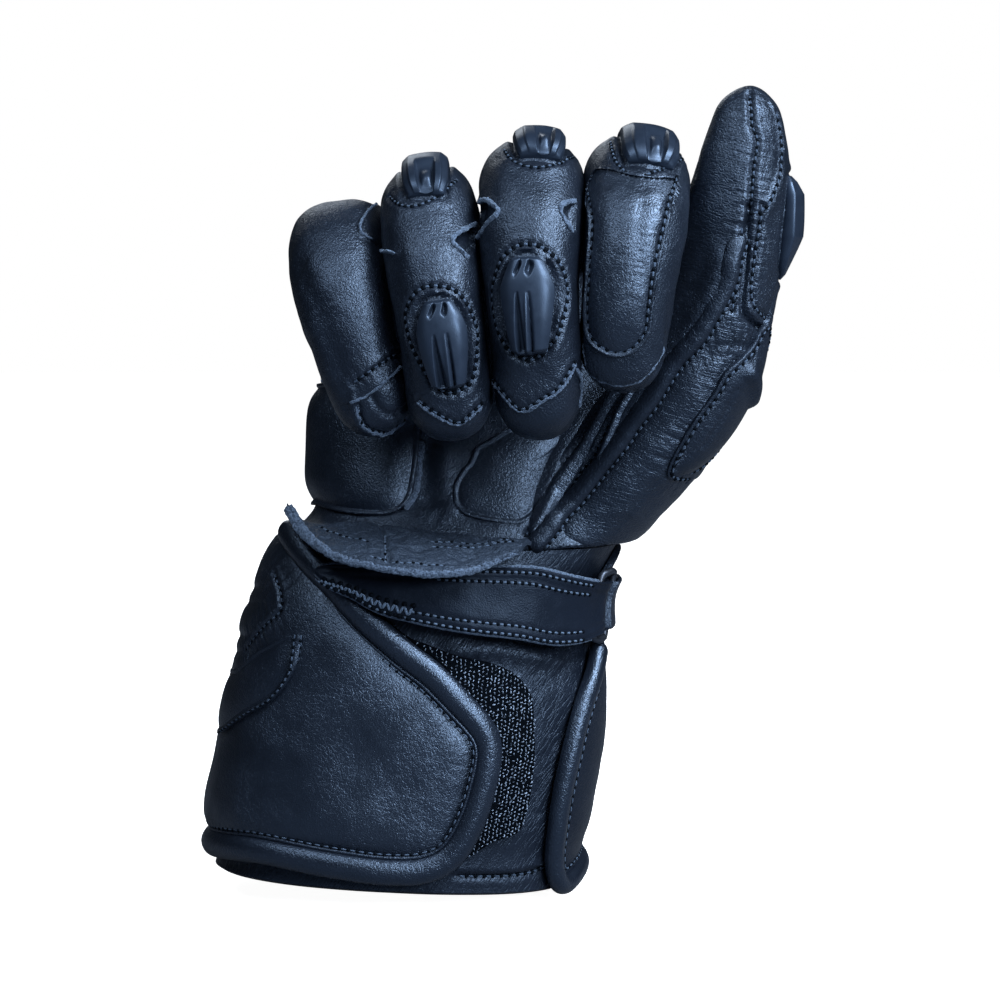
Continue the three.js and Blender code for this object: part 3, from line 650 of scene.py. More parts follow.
class Skin:
    """A fine grid of points on a surface that folds and seams are pressed into."""

    REACH = 14.0

    def __init__(self, place: Callable[[float], Array], wrap: bool = True) -> None:
        """Lays out the grid.

        Args:
            place: Gives the grid's points at a distance out of the surface.
            wrap: Whether the last column joins the first.
        """
        self.base = place(0.0)
        self.wrap = wrap
        rows, columns = self.base.shape[:2]
        hint = place(1.0) - self.base
        if wrap:
            across = np.roll(self.base, -1, axis=1) - np.roll(self.base, 1, axis=1)
        else:
            across = np.gradient(self.base, axis=1)
        normals = np.cross(across, np.gradient(self.base, axis=0))
        facing = np.sign(np.sum(normals * hint, axis=-1, keepdims=True))
        flat = np.linalg.norm(normals, axis=-1, keepdims=True) < 1e-6
        self.normals = unit(np.where(flat, hint, normals * facing))
        self.rise = np.zeros((rows, columns))
        quads = grid_faces(rows, columns, wrap_columns=wrap)
        self.tree = BVHTree.FromPolygons(self.base.reshape(-1, 3).tolist(), quads.tolist())

    @property
    def surface(self) -> Array:
        """The grid's points with all that was pressed into it."""
        return self.base + self.normals * self.rise[..., None]

    def wall(self, inner: Array) -> Hull:
        """Returns the closed wall between the skin and an inside, whose rings start at the open end."""
        return closed_rings(np.concatenate([inner[::-1], self.surface]))

    def settle(self) -> None:
        """Works out how far each face rises, once all is pressed."""
        quads = grid_faces(*self.rise.shape, wrap_columns=self.wrap)
        self.face_rise = self.rise.reshape(-1)[quads].mean(1)

    def soften(self, height: float, size: float, seed: int = 0) -> None:
        """Adds soft unevenness of a height and a width."""
        self.rise += height * SOFTNESS.at(self.base + seed * 37.0, size)

    def meet(self, other: "Skin", height: float, reach: float) -> None:
        """Raises the skin where another one comes out of it, so that the two flow together.

        Args:
            other: The skin that comes out of this one.
            height: How far this skin rises, in millimetres.
            reach: How far from the other skin the rise fades, in millimetres.
        """
        flat, near = self.base.reshape(-1, 3), other.base.reshape(-1, 3)
        low, high = near.min(0) - reach * 2, near.max(0) + reach * 2
        found = np.nonzero(np.all((flat > low) & (flat < high), axis=1))[0]
        gaps = np.array([other.tree.find_nearest(Vector(flat[i]), reach * 2.5)[3] or 99.0 for i in found])
        self.rise.reshape(-1)[found] += height * np.exp(-((gaps / reach) ** 2))

    def tuck(self, level: float, reach: float, depth: float) -> None:
        """Rounds the skin in towards a level edge at its foot."""
        share = np.clip((self.base[..., 2] - level) / reach, 0, 1)
        self.rise -= depth * (1 - np.sqrt(1 - (1 - share) ** 2))

    def _near(self, path: Path) -> tuple[Array, Array, Array]:
        """Returns the points near a path, the path's nearest point to each, and the distances.

        Args:
            path: The line on the skin.

        Returns:
            The numbers of the points, of the path's points, and the distances.
        """
        points = self.base.reshape(-1, 3)
        low, high = path.points.min(0) - self.REACH, path.points.max(0) + self.REACH
        found = np.nonzero(np.all((points > low) & (points < high), axis=1))[0]
        nearest, distance = nearest_on(points[found], path.points)
        same_side = np.sum(self.normals.reshape(-1, 3)[found] * path.normals[nearest], axis=1) > 0.1
        keep = same_side & (distance < self.REACH)
        return found[keep], nearest[keep], distance[keep]

    def press(self, path: Path, fold: Fold, depth: float, width: float, gather: float = 0.0,
              pitch: float = 2.0) -> None:
        """Presses a seam into the skin.

        Args:
            path: The seam's line.
            fold: The kind of seam.
            depth: Its depth or height.
            width: Its half width, or how far a lap's raised left side reaches.
            gather: Depth of the small creases that run away from the seam.
            pitch: Distance between the stitches of a sewn fold.
        """
        found, nearest, distance = self._near(path)
        offset = self.base.reshape(-1, 3)[found] - path.points[nearest]
        side = np.sum(offset * path.lefts[nearest], axis=1)
        run = path.run[nearest] + np.sum(offset * path.tangents[nearest], axis=1)
        if fold is Fold.LAP:
            change = depth * smooth(side, -0.4, 0.5) * np.exp(-np.maximum(distance - 0.5, 0) / width)
            change -= 0.4 * depth * np.exp(-(((side + 0.7) / 0.8) ** 2)) * (distance < 3)
        elif fold is Fold.SEWN:
            beat = np.cos(2 * np.pi * run / pitch)
            change = -depth * np.exp(-((distance / width) ** 2)) * (1 + 0.5 * beat)
            change += 0.45 * depth * np.exp(-(((distance - 1.5) / 0.8) ** 2)) * (1 - 0.45 * beat)
        else:
            sign = -1 if fold is Fold.GROOVE else 1
            change = sign * depth * np.exp(-((distance / width) ** 2))
        if gather:
            creases = SOFTNESS.at(np.stack([run / 1.5, side / 9, run * 0 + nearest.size], -1), 1.0)
            change -= gather * np.abs(creases) * 2 * np.exp(-((distance - 1.5) / 4.5) ** 2)
        self.rise.reshape(-1)[found] += change

    def swell(self, pixels: Pixels, height: float, width: float) -> None:
        """Raises the part inside a closed outline.

        Args:
            pixels: The outline in the photograph.
            height: How far the middle rises.
            width: Distance over which it rises.
        """
        path = traced(pixels, [self], True, 1.0)
        points = self.base.reshape(-1, 3)
        facing = self.normals.reshape(-1, 3) @ VIEW.axes[2] < 0.15
        candidates = np.nonzero(facing)[0]
        chosen = candidates[within(np.array(pixels, float), VIEW.project(points[candidates]))]
        distance = nearest_on(points[chosen], path.points)[1]
        self.rise.reshape(-1)[chosen] += height * (1 - np.exp(-distance / width))


def traced(pixels: Pixels, skins: Sequence[Skin], closed: bool = False, spacing: float = 0.5) -> Path:
    """Lays a line of the photograph on the surfaces that it is seen on.

    Args:
        pixels: The line's corners in the photograph.
        skins: The surfaces that may carry it.
        closed: Whether it joins up with its start.
        spacing: Distance between its points.

    Returns:
        The line on the surfaces.
    """
    line = even_line(np.array(pixels, float), 2.0, closed)
    eye = Vector(VIEW.eye)
    places, normals = [], []
    for ray in VIEW.rays(line):
        direction = Vector(ray)
        hits = [hit for skin in skins if (hit := skin.tree.ray_cast(eye, direction))[0] is not None]
        if hits:
            place, normal = min(hits, key=lambda hit: hit[3])[:2]
        else:
            near = [skin.tree.find_nearest(eye + direction * reach)
                    for skin in skins for reach in np.linspace(880, 1040, 33)]
            place, normal = min(near, key=lambda hit: hit[3])[:2]
        places.append(place)
        normals.append(-normal if normal.dot(direction) > 0 else normal)
    joined = np.concatenate([np.array(places), np.array(normals)], axis=1)
    weights = np.array([1, 1, 1, 0.01, 0.01, 0.01])
    even = even_line(joined * weights, spacing, closed) / weights
    return Path(even[:, :3], unit(even[:, 3:]), closed).softened(2)


def laid(point: Callable[[Array, Array, Array], Array], corners: Pixels,
         closed: bool = False, spacing: float = 0.5) -> Path:
    """Lays a line given in a surface's own coordinates on it.

    Args:
        point: The surface: two coordinates and a distance out.
        corners: The line's corners.
        closed: Whether it joins up with its start.
        spacing: Distance between its points.

    Returns:
        The line on the surface.
    """
    fine = even_line(np.array(corners, float), 0.5, closed)
    places = point(fine[:, 0], fine[:, 1], 0 * fine[:, 0])
    even = even_line(np.concatenate([places, fine * 1e-3], axis=1)[::2], spacing, closed)
    u, v = even[:, 3] * 1e3, even[:, 4] * 1e3
    places = point(u, v, 0 * u)
    return Path(places, unit(point(u, v, 0 * u + 1) - places), closed)


class Value:
    """A shader or geometry value that does arithmetic by adding Math nodes."""

    def __init__(self, web: "Web", socket: bpy.types.NodeSocket) -> None:
        """Keeps the socket that gives the value."""
        self.web = web
        self.socket = socket

    def _math(self, operation: str, first: "Value | float", second: "Value | float") -> "Value":
        """Returns the result of one Math node."""
        return self.web.add("ShaderNodeMath", {"operation": operation}, {0: first, 1: second})["Value"]

    def __add__(self, other: "Value | float") -> "Value":
        """Returns the sum."""
        return self._math("ADD", self, other)

    __radd__ = __add__

    def __sub__(self, other: "Value | float") -> "Value":
        """Returns the difference."""
        return self._math("SUBTRACT", self, other)

    def __rsub__(self, other: float) -> "Value":
        """Returns a number less this value."""
        return self._math("SUBTRACT", other, self)

    def __mul__(self, other: "Value | float") -> "Value":
        """Returns the product."""
        return self._math("MULTIPLY", self, other)

    __rmul__ = __mul__


class Outputs:
    """A node's outputs by name."""

    def __init__(self, web: "Web", node: bpy.types.Node) -> None:
        """Keeps the node."""
        self.web = web
        self.node = node

    def __getitem__(self, name: str | int) -> Value:
        """Returns one output."""
        return Value(self.web, self.node.outputs[name])


class Web:
    """A node tree that nodes are added to."""

    def __init__(self, tree: bpy.types.NodeTree) -> None:
        """Keeps the tree."""
        self.tree = tree

    def add(self, kind: str, settings: dict | None = None, inputs: dict | None = None) -> Outputs:
        """Adds a node.

        Args:
            kind: Blender's name for the node's type.
            settings: Properties of the node, and a ramp's stops under "stops".
            inputs: Values or links for its sockets, by name or number.

        Returns:
            Its outputs.
        """
        node = self.tree.nodes.new(kind)
        for name, value in (settings or {}).items():
            if name == "stops":
                elements = node.color_ramp.elements
                while len(elements) < len(value):
                    elements.new(0.5)
                for element, (position, colour) in zip(elements, value):
                    element.position = position
                    element.color = colour
            else:
                setattr(node, name, value)
        for name, value in (inputs or {}).items():
            if isinstance(value, Value):
                self.tree.links.new(value.socket, node.inputs[name])
            elif value is not None:
                node.inputs[name].default_value = value
        return Outputs(self, node)


def rgba(colour: Colour) -> tuple[float, float, float, float]:
    """Returns an opaque colour."""
    return (*colour, 1.0)


class Finish(Web):
    """A material's or a backdrop's tree, with the steps that its patterns share."""

    def __init__(self, owner: bpy.types.Material | bpy.types.World) -> None:
        """Empties the owner's tree."""
        owner.use_nodes = True
        super().__init__(owner.node_tree)
        self.tree.nodes.clear()

    @staticmethod
    def scale(size: float) -> float:
        """Returns the texture scale that makes a pattern of a size in millimetres."""
        return 1 / (size * MM)

    def noise(self, place: Value, size: float, detail: float, distortion: float = 0.0) -> Outputs:
        """Adds noise with bumps of a size in millimetres."""
        return self.add("ShaderNodeTexNoise", {}, {
            "Vector": place, "Scale": self.scale(size), "Detail": detail, "Distortion": distortion})

    def vectors(self, operation: str, first: Value, second: "Value | tuple | float") -> Value:
        """Returns the result of one Vector Math node."""
        other = "Scale" if operation == "SCALE" else 1
        return self.add("ShaderNodeVectorMath", {"operation": operation}, {0: first, other: second})["Vector"]

    def step(self, value: Value, width: float) -> Value:
        """Returns a smooth step from 0 to 1 over a width."""
        return self.add("ShaderNodeMapRange", {"interpolation_type": "SMOOTHSTEP"},
                        {"Value": value, "From Min": 0.0, "From Max": width})["Result"]

    def lines(self, noise: Value, width: float) -> Value:
        """Returns 0 on the lines where a noise crosses its middle, and 1 beside them."""
        away = self.add("ShaderNodeMath", {"operation": "ABSOLUTE"}, {0: noise - 0.5})["Value"]
        return self.step(away, width)

    def blend(self, share: Value, dark: Colour, light: Colour) -> Value:
        """Returns a colour between two others."""
        ends = {"Factor": share, 6: rgba(dark), 7: rgba(light)}
        return self.add("ShaderNodeMix", {"data_type": "RGBA"}, ends)[2]

    def surface(self, height: Value, inputs: dict) -> None:
        """Ends a material with a Principled shader whose bumps have a height in millimetres."""
        bump = self.add("ShaderNodeBump", {}, {"Height": height, "Distance": MM, "Strength": 1.0})["Normal"]
        self.output(self.add("ShaderNodeBsdfPrincipled", {}, {"Normal": bump, **inputs})["BSDF"])

    def output(self, shader: Value, kind: str = "Material") -> None:
        """Sends a shader to the tree's output."""
        self.add(f"ShaderNodeOutput{kind}", {}, {"Surface": shader})


@dataclass(frozen=True)
class Leather:
    """Dyed grain leather: pebbles, fine creases and a soft, cool sheen."""

    name: str
    dark: Colour = (0.0022, 0.0034, 0.0062)
    light: Colour = (0.006, 0.009, 0.0165)
    tint: Colour = (0.5, 0.69, 1.0)
    roughness: float = 0.37
    uneven: float = 0.2
    grain: float = 0.52
    grain_depth: float = 0.105
    crease: float = 1.4
    crease_depth: float = 0.05
    crackle: float = 0.03
    streak: float = 0.0
    streak_turn: float = 0.0
    specular: float = 0.55

    def material(self) -> bpy.types.Material:
        """Builds the material."""
        made = bpy.data.materials.new(self.name)
        web = Finish(made)
        place = web.add("ShaderNodeTexCoord")["Object"]
        drift = web.vectors("SUBTRACT", web.noise(place, 2.0, 2.0)["Color"], (0.5, 0.5, 0.5))
        bent = web.vectors("ADD", place, web.vectors("SCALE", drift, 1.6 * MM))
        cells = web.add("ShaderNodeTexVoronoi", {"feature": "SMOOTH_F1"},
                        {"Vector": bent, "Scale": web.scale(self.grain), "Smoothness": 0.3})["Distance"]
        folds = web.lines(web.noise(bent, self.crease, 2.5, 0.6)["Fac"], 0.045)
        fine = web.noise(place, 0.35, 3.0)["Fac"]
        patches = web.noise(place, 13, 4.0)["Fac"]
        shown = web.add("ShaderNodeMapRange", {}, {"Value": patches, "From Min": 0.38, "From Max": 0.66,
                                                   "To Min": 0.12})["Result"]
        height = (1 - cells) * self.grain_depth + fine * (self.grain_depth * 0.8)
        height = height + folds * shown * self.crease_depth
        edges = web.add("ShaderNodeTexVoronoi", {"feature": "DISTANCE_TO_EDGE"},
                        {"Vector": bent, "Scale": web.scale(1.4)})["Distance"]
        height = height + web.step(edges, 0.12) * shown * self.crackle
        if self.streak:
            turn, size = (0.0, self.streak_turn, 0.0), (11.0, 3.0, 1.0)
            turned = web.add("ShaderNodeMapping", {"vector_type": "TEXTURE"},
                             {"Vector": place, "Rotation": turn, "Scale": size})["Vector"]
            height = height + web.lines(web.noise(turned, 1.0, 2.0)["Fac"], 0.07) * self.streak
        web.surface(height, {
            "Base Color": web.blend(patches, self.dark, self.light),
            "Roughness": self.roughness + (patches - 0.5) * self.uneven + (fine - 0.5) * 0.12,
            "Specular Tint": rgba(self.tint),
            "Specular IOR Level": self.specular,
        })
        return made


@dataclass(frozen=True)
class Moulding:
    """Hard moulded plastic with a satin gloss and faint scuffs."""

    name: str
    colour: Colour = (0.006, 0.0095, 0.017)
    tint: Colour = (0.46, 0.66, 1.0)
    roughness: float = 0.38

    def material(self) -> bpy.types.Material:
        """Builds the material."""
        made = bpy.data.materials.new(self.name)
        web = Finish(made)
        place = web.add("ShaderNodeTexCoord")["Object"]
        scuffs = web.noise(place, 3.0, 5.0)["Fac"]
        worn = tuple(1.5 * part for part in self.colour)
        web.surface(web.noise(place, 0.5, 2.0)["Fac"] * 0.012, {
            "Base Color": web.blend(scuffs, self.colour, worn),
            "Roughness": self.roughness + (scuffs - 0.5) * 0.25,
            "Specular Tint": rgba(self.tint),
            "Specular IOR Level": 0.5,
        })
        return made


@dataclass(frozen=True)
class Fibre:
    """Thread, loop pile or the cut edge of leather: matt and fuzzy."""

    name: str
    dark: Colour
    light: Colour
    roughness: float = 0.75
    size: float = 0.35
    depth: float = 0.08
    sheen: float = 0.3
    specular: float = 0.5

    def material(self) -> bpy.types.Material:
        """Builds the material."""
        made = bpy.data.materials.new(self.name)
        web = Finish(made)
        fuzz = web.noise(web.add("ShaderNodeTexCoord")["Object"], self.size, 3.0)["Fac"]
        spread = web.add("ShaderNodeMapRange", {},
                         {"Value": fuzz, "From Min": 0.35, "From Max": 0.65})["Result"]
        web.surface(fuzz * self.depth, {
            "Base Color": web.blend(spread, self.dark, self.light),
            "Roughness": self.roughness + (fuzz - 0.5) * 0.2,
            "Sheen Weight": self.sheen,
            "Sheen Roughness": 0.5,
            "Sheen Tint": rgba((0.5, 0.7, 1.0)),
            "Specular Tint": rgba((0.4, 0.62, 1.0)),
            "Specular IOR Level": self.specular,
        })
        return made


@dataclass(frozen=True)
class Steel:
    """Darkened steel wire."""

    name: str
    colour: Colour = (0.045, 0.055, 0.075)

    def material(self) -> bpy.types.Material:
        """Builds the material."""
        made = bpy.data.materials.new(self.name)
        web = Finish(made)
        wear = web.noise(web.add("ShaderNodeTexCoord")["Object"], 1.2, 4.0)["Fac"]
        web.surface(wear * 0.02, {
            "Base Color": rgba(self.colour),
            "Metallic": 0.9,
            "Roughness": 0.3 + wear * 0.2,
        })
        return made


def placed(name: str, data: bpy.types.ID) -> bpy.types.Object:
    """Puts a new object with its data in the scene."""
    made = bpy.data.objects.new(name, data)
    bpy.context.scene.collection.objects.link(made)
    return made


def keep_result(piece: bpy.types.Object, modifier: bpy.types.Modifier) -> None:
    """Makes a modifier's result the piece's own mesh."""
    graph = bpy.context.evaluated_depsgraph_get()
    mesh = bpy.data.meshes.new_from_object(piece.evaluated_get(graph))
    piece.modifiers.remove(modifier)
    piece.data = mesh


class Workshop:
    """The finishes, and the making of Blender objects from meshes."""

    def __init__(self) -> None:
        """Builds each finish once."""
        finishes = (
            Leather("soft_leather"),
            Leather("smooth_leather", uneven=0.22, grain_depth=0.08, crease_depth=0.04, crackle=0.04,
                    specular=0.62),
            Leather("index_leather", uneven=0.22, grain_depth=0.08, crease_depth=0.07, crackle=0.03,
                    specular=0.8),
            Leather("flap_leather", uneven=0.25, grain=0.45, grain_depth=0.065, crease_depth=0.04,
                    crackle=0.06, specular=0.72),
            Leather("strap_leather", roughness=0.36, grain=0.4, grain_depth=0.045, crease_depth=0.01,
                    crackle=0.0, specular=0.12),
            Leather("roll_leather", roughness=0.32, uneven=0.1, grain_depth=0.08, crease_depth=0.02,
                    specular=0.72),
            Leather("panel_leather", grain=0.55, grain_depth=0.08, crease_depth=0.03, specular=0.24),
            Leather("cuff_leather", grain_depth=0.05, crease_depth=0.02, streak=0.08, streak_turn=-0.92,
                    specular=0.38),
            Leather("thumb_leather", streak=0.06, streak_turn=0.25, specular=0.76),
            Leather("palm_leather", streak=0.05, streak_turn=0.6, specular=1.0),
            # Lighter than the other leathers: partly its own rougher, suede-like grain, partly painted light
            # for the light on its upturned top
            Leather("tongue_leather_and_painted_light", (0.007, 0.0105, 0.018), (0.018, 0.027, 0.045), roughness=0.52, crease=2.0,
                    crease_depth=0.2, grain_depth=0.16, crackle=0.08),
            Moulding("slider_plastic"),
            Fibre("cut_leather", (0.004, 0.006, 0.011), (0.07, 0.098, 0.15), size=0.45, depth=0.18),
            Fibre("thread", (0.007, 0.011, 0.02), (0.036, 0.054, 0.088), roughness=0.5, size=0.2),
            Fibre("light_thread", (0.016, 0.024, 0.04), (0.075, 0.11, 0.17), roughness=0.5, size=0.2),
            # Near-black and barely reflecting: painted shade for the dark inside of the needle holes
            Fibre("hole_shade", (0.0004, 0.0006, 0.001), (0.0008, 0.0012, 0.002), sheen=0.0, specular=0.1),
            Fibre("loop_ground", (0.0003, 0.0004, 0.0007), (0.001, 0.0015, 0.0025), sheen=0.0, depth=0.3,
                  specular=0.04),
            Fibre("loop_pile", (0.003, 0.0045, 0.008), (0.2, 0.26, 0.36), roughness=0.6, size=0.9,
                  specular=0.3),
            Steel("wire"),
        )
        self.finishes = {finish.name: finish.material() for finish in finishes}

    def make(self, name: str, hull: Hull, finish: str, sharp: float = 50.0) -> bpy.types.Object:
        """Makes a smooth-shaded object in metres.

        Args:
            name: The object's name.
            hull: The mesh in millimetres.
            finish: The finish's name.
            sharp: Angle above which an edge is shaded sharp.

        Returns:
            The object.
        """
        mesh = bpy.data.meshes.new(name)
        counts = np.concatenate([np.full(len(face), face.shape[1]) for face in hull.faces])
        corners = np.concatenate([face.reshape(-1) for face in hull.faces])
        mesh.vertices.add(len(hull.points))
        mesh.vertices.foreach_set("co", (hull.points * MM).astype(np.float32).reshape(-1))
        mesh.loops.add(len(corners))
        mesh.loops.foreach_set("vertex_index", corners.astype(np.int32))
        mesh.polygons.add(len(counts))
        starts = np.concatenate([[0], np.cumsum(counts)[:-1]])
        mesh.polygons.foreach_set("loop_start", starts.astype(np.int32))
        mesh.polygons.foreach_set("loop_total", counts.astype(np.int32))
        mesh.update(calc_edges=True)
        mesh.validate()
        piece = placed(name, mesh)
        piece.data.materials.append(self.finishes[finish])
        self.shade(piece, sharp)
        return piece

    @staticmethod
    def shade(piece: bpy.types.Object, sharp: float) -> None:
        """Shades a piece smooth up to an angle."""
        piece.data.shade_smooth()
        piece.data.set_sharp_from_angle(angle=math.radians(sharp))

    def cut(self, piece: bpy.types.Object, tools: Sequence[Hull]) -> None:
        """Takes closed meshes away from a piece.

        Args:
            piece: The object to cut.
            tools: The closed meshes that are taken away.
        """
        for hull in tools:
            tool = self.make("tool", hull, "wire")
            modifier = piece.modifiers.new("cut", "BOOLEAN")
            modifier.object = tool
            modifier.solver = "MANIFOLD"
            modifier.operation = "DIFFERENCE"
            keep_result(piece, modifier)
            bpy.data.objects.remove(tool)
        while len(piece.data.materials) > 1:
            piece.data.materials.pop()
        self.shade(piece, 40)

    def finish(self, piece: bpy.types.Object, slot: str, *nodes: str, pad: float | None = None) -> None:
        """Attaches a piece to the root body and hides the solids that it stands for.

        Args:
            piece: The finished object.
            slot: Not used.
            nodes: The solids that it stands for.
            pad: Not used.
        """
        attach(piece, "root")
        if nodes:
            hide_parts(*nodes)
        LOG.info("%s: %d faces", piece.name, len(piece.data.polygons))

    def supply(self, name: str, hull: Hull, finish: str, slot: str, *nodes: str,
               pad: float | None = None) -> None:
        """Makes a piece from a mesh and hands it over, with the arguments of make and finish."""
        self.finish(self.make(name, hull, finish), slot, *nodes, pad=pad)


class Scatter(Web):
    """A Geometry Nodes tree that lays one shape on each point of a mesh."""

    def __init__(self, name: str, *sizes: str) -> None:
        """Makes the tree, with a named input for each size.

        Args:
            name: Name of the tree.
            sizes: Names of its number inputs.
        """
        super().__init__(bpy.data.node_groups.new(name, "GeometryNodeTree"))
        face = self.tree.interface
        face.new_socket("Geometry", in_out="INPUT", socket_type="NodeSocketGeometry")
        self.names = {size: face.new_socket(size, in_out="INPUT", socket_type="NodeSocketFloat").identifier
                      for size in sizes}
        face.new_socket("Geometry", in_out="OUTPUT", socket_type="NodeSocketGeometry")
        self.given = self.add("NodeGroupInput")

    def read(self, name: str, kind: str = "FLOAT_VECTOR") -> Value:
        """Reads one of the points' attributes."""
        return self.add("GeometryNodeInputNamedAttribute", {"data_type": kind}, {"Name": name})["Attribute"]

    def spread(self, points: Value, shape: Value, turn: Value, scale: Value,
               material: bpy.types.Material) -> None:
        """Lays the shape on the points, makes it real and dresses it.

        Args:
            points: The points.
            shape: The shape for each.
            turn: Its rotation.
            scale: Its size.
            material: Its finish.
        """
        laid_out = self.add("GeometryNodeInstanceOnPoints", {}, {
            "Points": points, "Instance": shape, "Rotation": turn, "Scale": scale})["Instances"]
        real = self.add("GeometryNodeRealizeInstances", {}, {"Geometry": laid_out})["Geometry"]
        dressed = self.add("GeometryNodeSetMaterial", {}, {"Geometry": real, "Material": material})["Geometry"]
        self.add("NodeGroupOutput", {}, {"Geometry": dressed})

    def lay(self, name: str, points: Array, attributes: dict[str, Array], **sizes: float) -> bpy.types.Object:
        """Runs the tree on points.

        Args:
            name: The name of the object that comes out.
            points: The points, in millimetres.
            attributes: What each point carries: vectors, or single values.
            sizes: The inputs in millimetres or as shares, with underscores for spaces.

        Returns:
            The object, with the shapes as its mesh.
        """
        mesh = bpy.data.meshes.new(name)
        mesh.vertices.add(len(points))
        mesh.vertices.foreach_set("co", (points * MM).astype(np.float32).reshape(-1))
        for label, data in attributes.items():
            kind, part = ("FLOAT_VECTOR", "vector") if data.ndim > 1 else ("FLOAT", "value")
            layer = mesh.attributes.new(label, kind, "POINT")
            layer.data.foreach_set(part, np.ascontiguousarray(data, np.float32).reshape(-1))
        piece = placed(name, mesh)
        modifier = piece.modifiers.new(name, "NODES")
        modifier.node_group = self.tree
        for size, identifier in self.names.items():
            modifier[identifier] = sizes[size.replace(" ", "_").lower()]
        keep_result(piece, modifier)
        return piece


@dataclass
class Stitching:
    """Sewing thread: stitches laid along lines by Geometry Nodes."""

    name: str = "stitches"
    finish: str = "thread"
    thread: float = 0.62
    sunk: float = 0.2
    fill: float = 0.62
    places: list[Array] = field(default_factory=list)

    def sew(self, path: Path, pitch: float = 2.3, size: float = 1.0) -> None:
        """Adds a line of stitches.

        Args:
            path: The line on the leather.
            pitch: Distance from one stitch to the next.
            size: The thread's size against the usual one.
        """
        lines = [path.points, path.normals, path.tangents]
        if path.closed:
            lines = [np.concatenate([line, line[:1]]) for line in lines]
        run = run_along(lines[0])
        count = max(int(round(run[-1] / pitch)), 1)
        stops = (np.arange(count) + 0.5) * run[-1] / count
        read = [read_along(stops, run, line) for line in lines]
        length = np.full((count, 1), run[-1] / count)
        self.places.append(np.concatenate([*read, length, np.full((count, 1), size)], axis=1))

    def link(self, points: Array, normals: Array, size: float = 1.0) -> None:
        """Adds one stitch from each point to the next.

        Args:
            points: The ends of the stitches, in millimetres.
            normals: Directions out of the leather.
            size: Thickness against the other stitches.
        """
        ends = np.diff(points, axis=0)
        length = np.linalg.norm(ends, axis=1, keepdims=True)
        middle = (points[1:] + points[:-1]) / 2
        row = [middle, normals[1:], ends / length, length * 1.25, 0 * length + size]
        self.places.append(np.concatenate(row, axis=1))

    def _tree(self, material: bpy.types.Material, holes: bool) -> Scatter:
        """Builds the tree that lays a stitch, or a near-black blob at its end as painted shade for the needle
        hole, on each point.

        Args:
            material: The stitches' finish, or the holes' painted shade.
            holes: Whether it lays the painted shade of the needle holes.

        Returns:
            The tree.
        """
        web = Scatter("hole_shade_blobs" if holes else "stitches", "Thread Width", "Thread Height", "Fill")
        running, facing = web.read("running"), web.read("facing")
        length, size = web.read("length", "FLOAT"), web.read("size", "FLOAT")
        turned = web.add("FunctionNodeAlignRotationToVector", {"axis": "X"}, {"Vector": running})["Rotation"]
        turned = web.add("FunctionNodeAlignRotationToVector", {"axis": "Z", "pivot_axis": "X"},
                         {"Rotation": turned, "Vector": facing})["Rotation"]
        wide, high = web.given["Thread Width"] * size, web.given["Thread Height"] * size
        points, across = web.given["Geometry"], wide
        if holes:
            half = web.add("ShaderNodeVectorMath", {"operation": "SCALE"}, {0: running, "Scale": length * 0.5})
            points = web.add("GeometryNodeSetPosition", {},
                             {"Geometry": points, "Offset": half["Vector"]})["Geometry"]
        else:
            across = length * web.given["Fill"]
        rings = 4 if holes else 8
        ball = web.add("GeometryNodeMeshUVSphere", {}, {"Segments": 6, "Rings": rings, "Radius": 0.5})
        shape = web.add("GeometryNodeSetShadeSmooth", {}, {"Geometry": ball["Mesh"]})["Geometry"]
        if not holes:
            shape = web.add("GeometryNodeTransform", {},
                            {"Geometry": shape, "Rotation": (0, math.pi / 2, 0)})["Geometry"]
        scale = web.add("ShaderNodeCombineXYZ", {}, {"X": across, "Y": wide, "Z": high})["Vector"]
        web.spread(points, shape, turned, scale, material)
        return web

    def build(self, shop: Workshop) -> None:
        """Lays all stitches, and near-black blobs of painted shade for their needle holes, and hands them over.

        Args:
            shop: The workshop that makes the pieces.
        """
        rows = np.concatenate(self.places)
        facing, running, length, size = rows[:, 3:6], rows[:, 6:9], rows[:, 9] * MM, rows[:, 10]
        points = rows[:, :3] - facing * self.sunk * self.thread * 0.4
        carried = {"facing": facing, "running": running, "length": length, "size": size}
        for name, finish, holes, width, height in (
            (self.name, self.finish, False, self.thread, self.thread * 0.8),
            # Near-black blobs at the stitch ends: painted shade for the needle holes
            (f"{self.name}_hole_shade_blobs", "hole_shade", True, self.thread * 1.9, self.thread),
        ):
            web = self._tree(shop.finishes[finish], holes)
            piece = web.lay(name, points, carried, thread_width=width * MM, thread_height=height * MM,
                            fill=self.fill)
            shop.finish(piece, "main_leather")


@dataclass(frozen=True)
class Seam:
    """A seam as the photograph shows it.

    Its stitches run `stitch` to the left of its line, and its raised lip `lip_at` to the left.
    """

    pixels: Pixels
    fold: Fold = Fold.GROOVE
    depth: float = 0.5
    width: float = 0.9
    closed: bool = False
    gather: float = 0.0
    stitch: float | None = 0.0
    pitch: float = 2.2
    thick: float = 1.0
    lip_at: float | None = None
    lip_width: float = 0.4
    lip_height: float = 0.45
    ridge_at: float | None = None
    ridge: float = 0.5


def crease(pixels: Pixels, depth: float, width: float = 0.9, gather: float = 0.0) -> Seam:
    """Returns a fold without stitches."""
    return Seam(pixels, depth=depth, width=width, gather=gather, stitch=None)


def notch(pixels: Pixels, lip_width: float) -> Seam:
    """Returns a raised cut edge without stitches."""
    return Seam(pixels, Fold.RIDGE, 0.3, 1.2, stitch=None, lip_at=0.0, lip_height=0.6, lip_width=lip_width)


STITCH_BED = {"depth": 0.34, "width": 0.7}


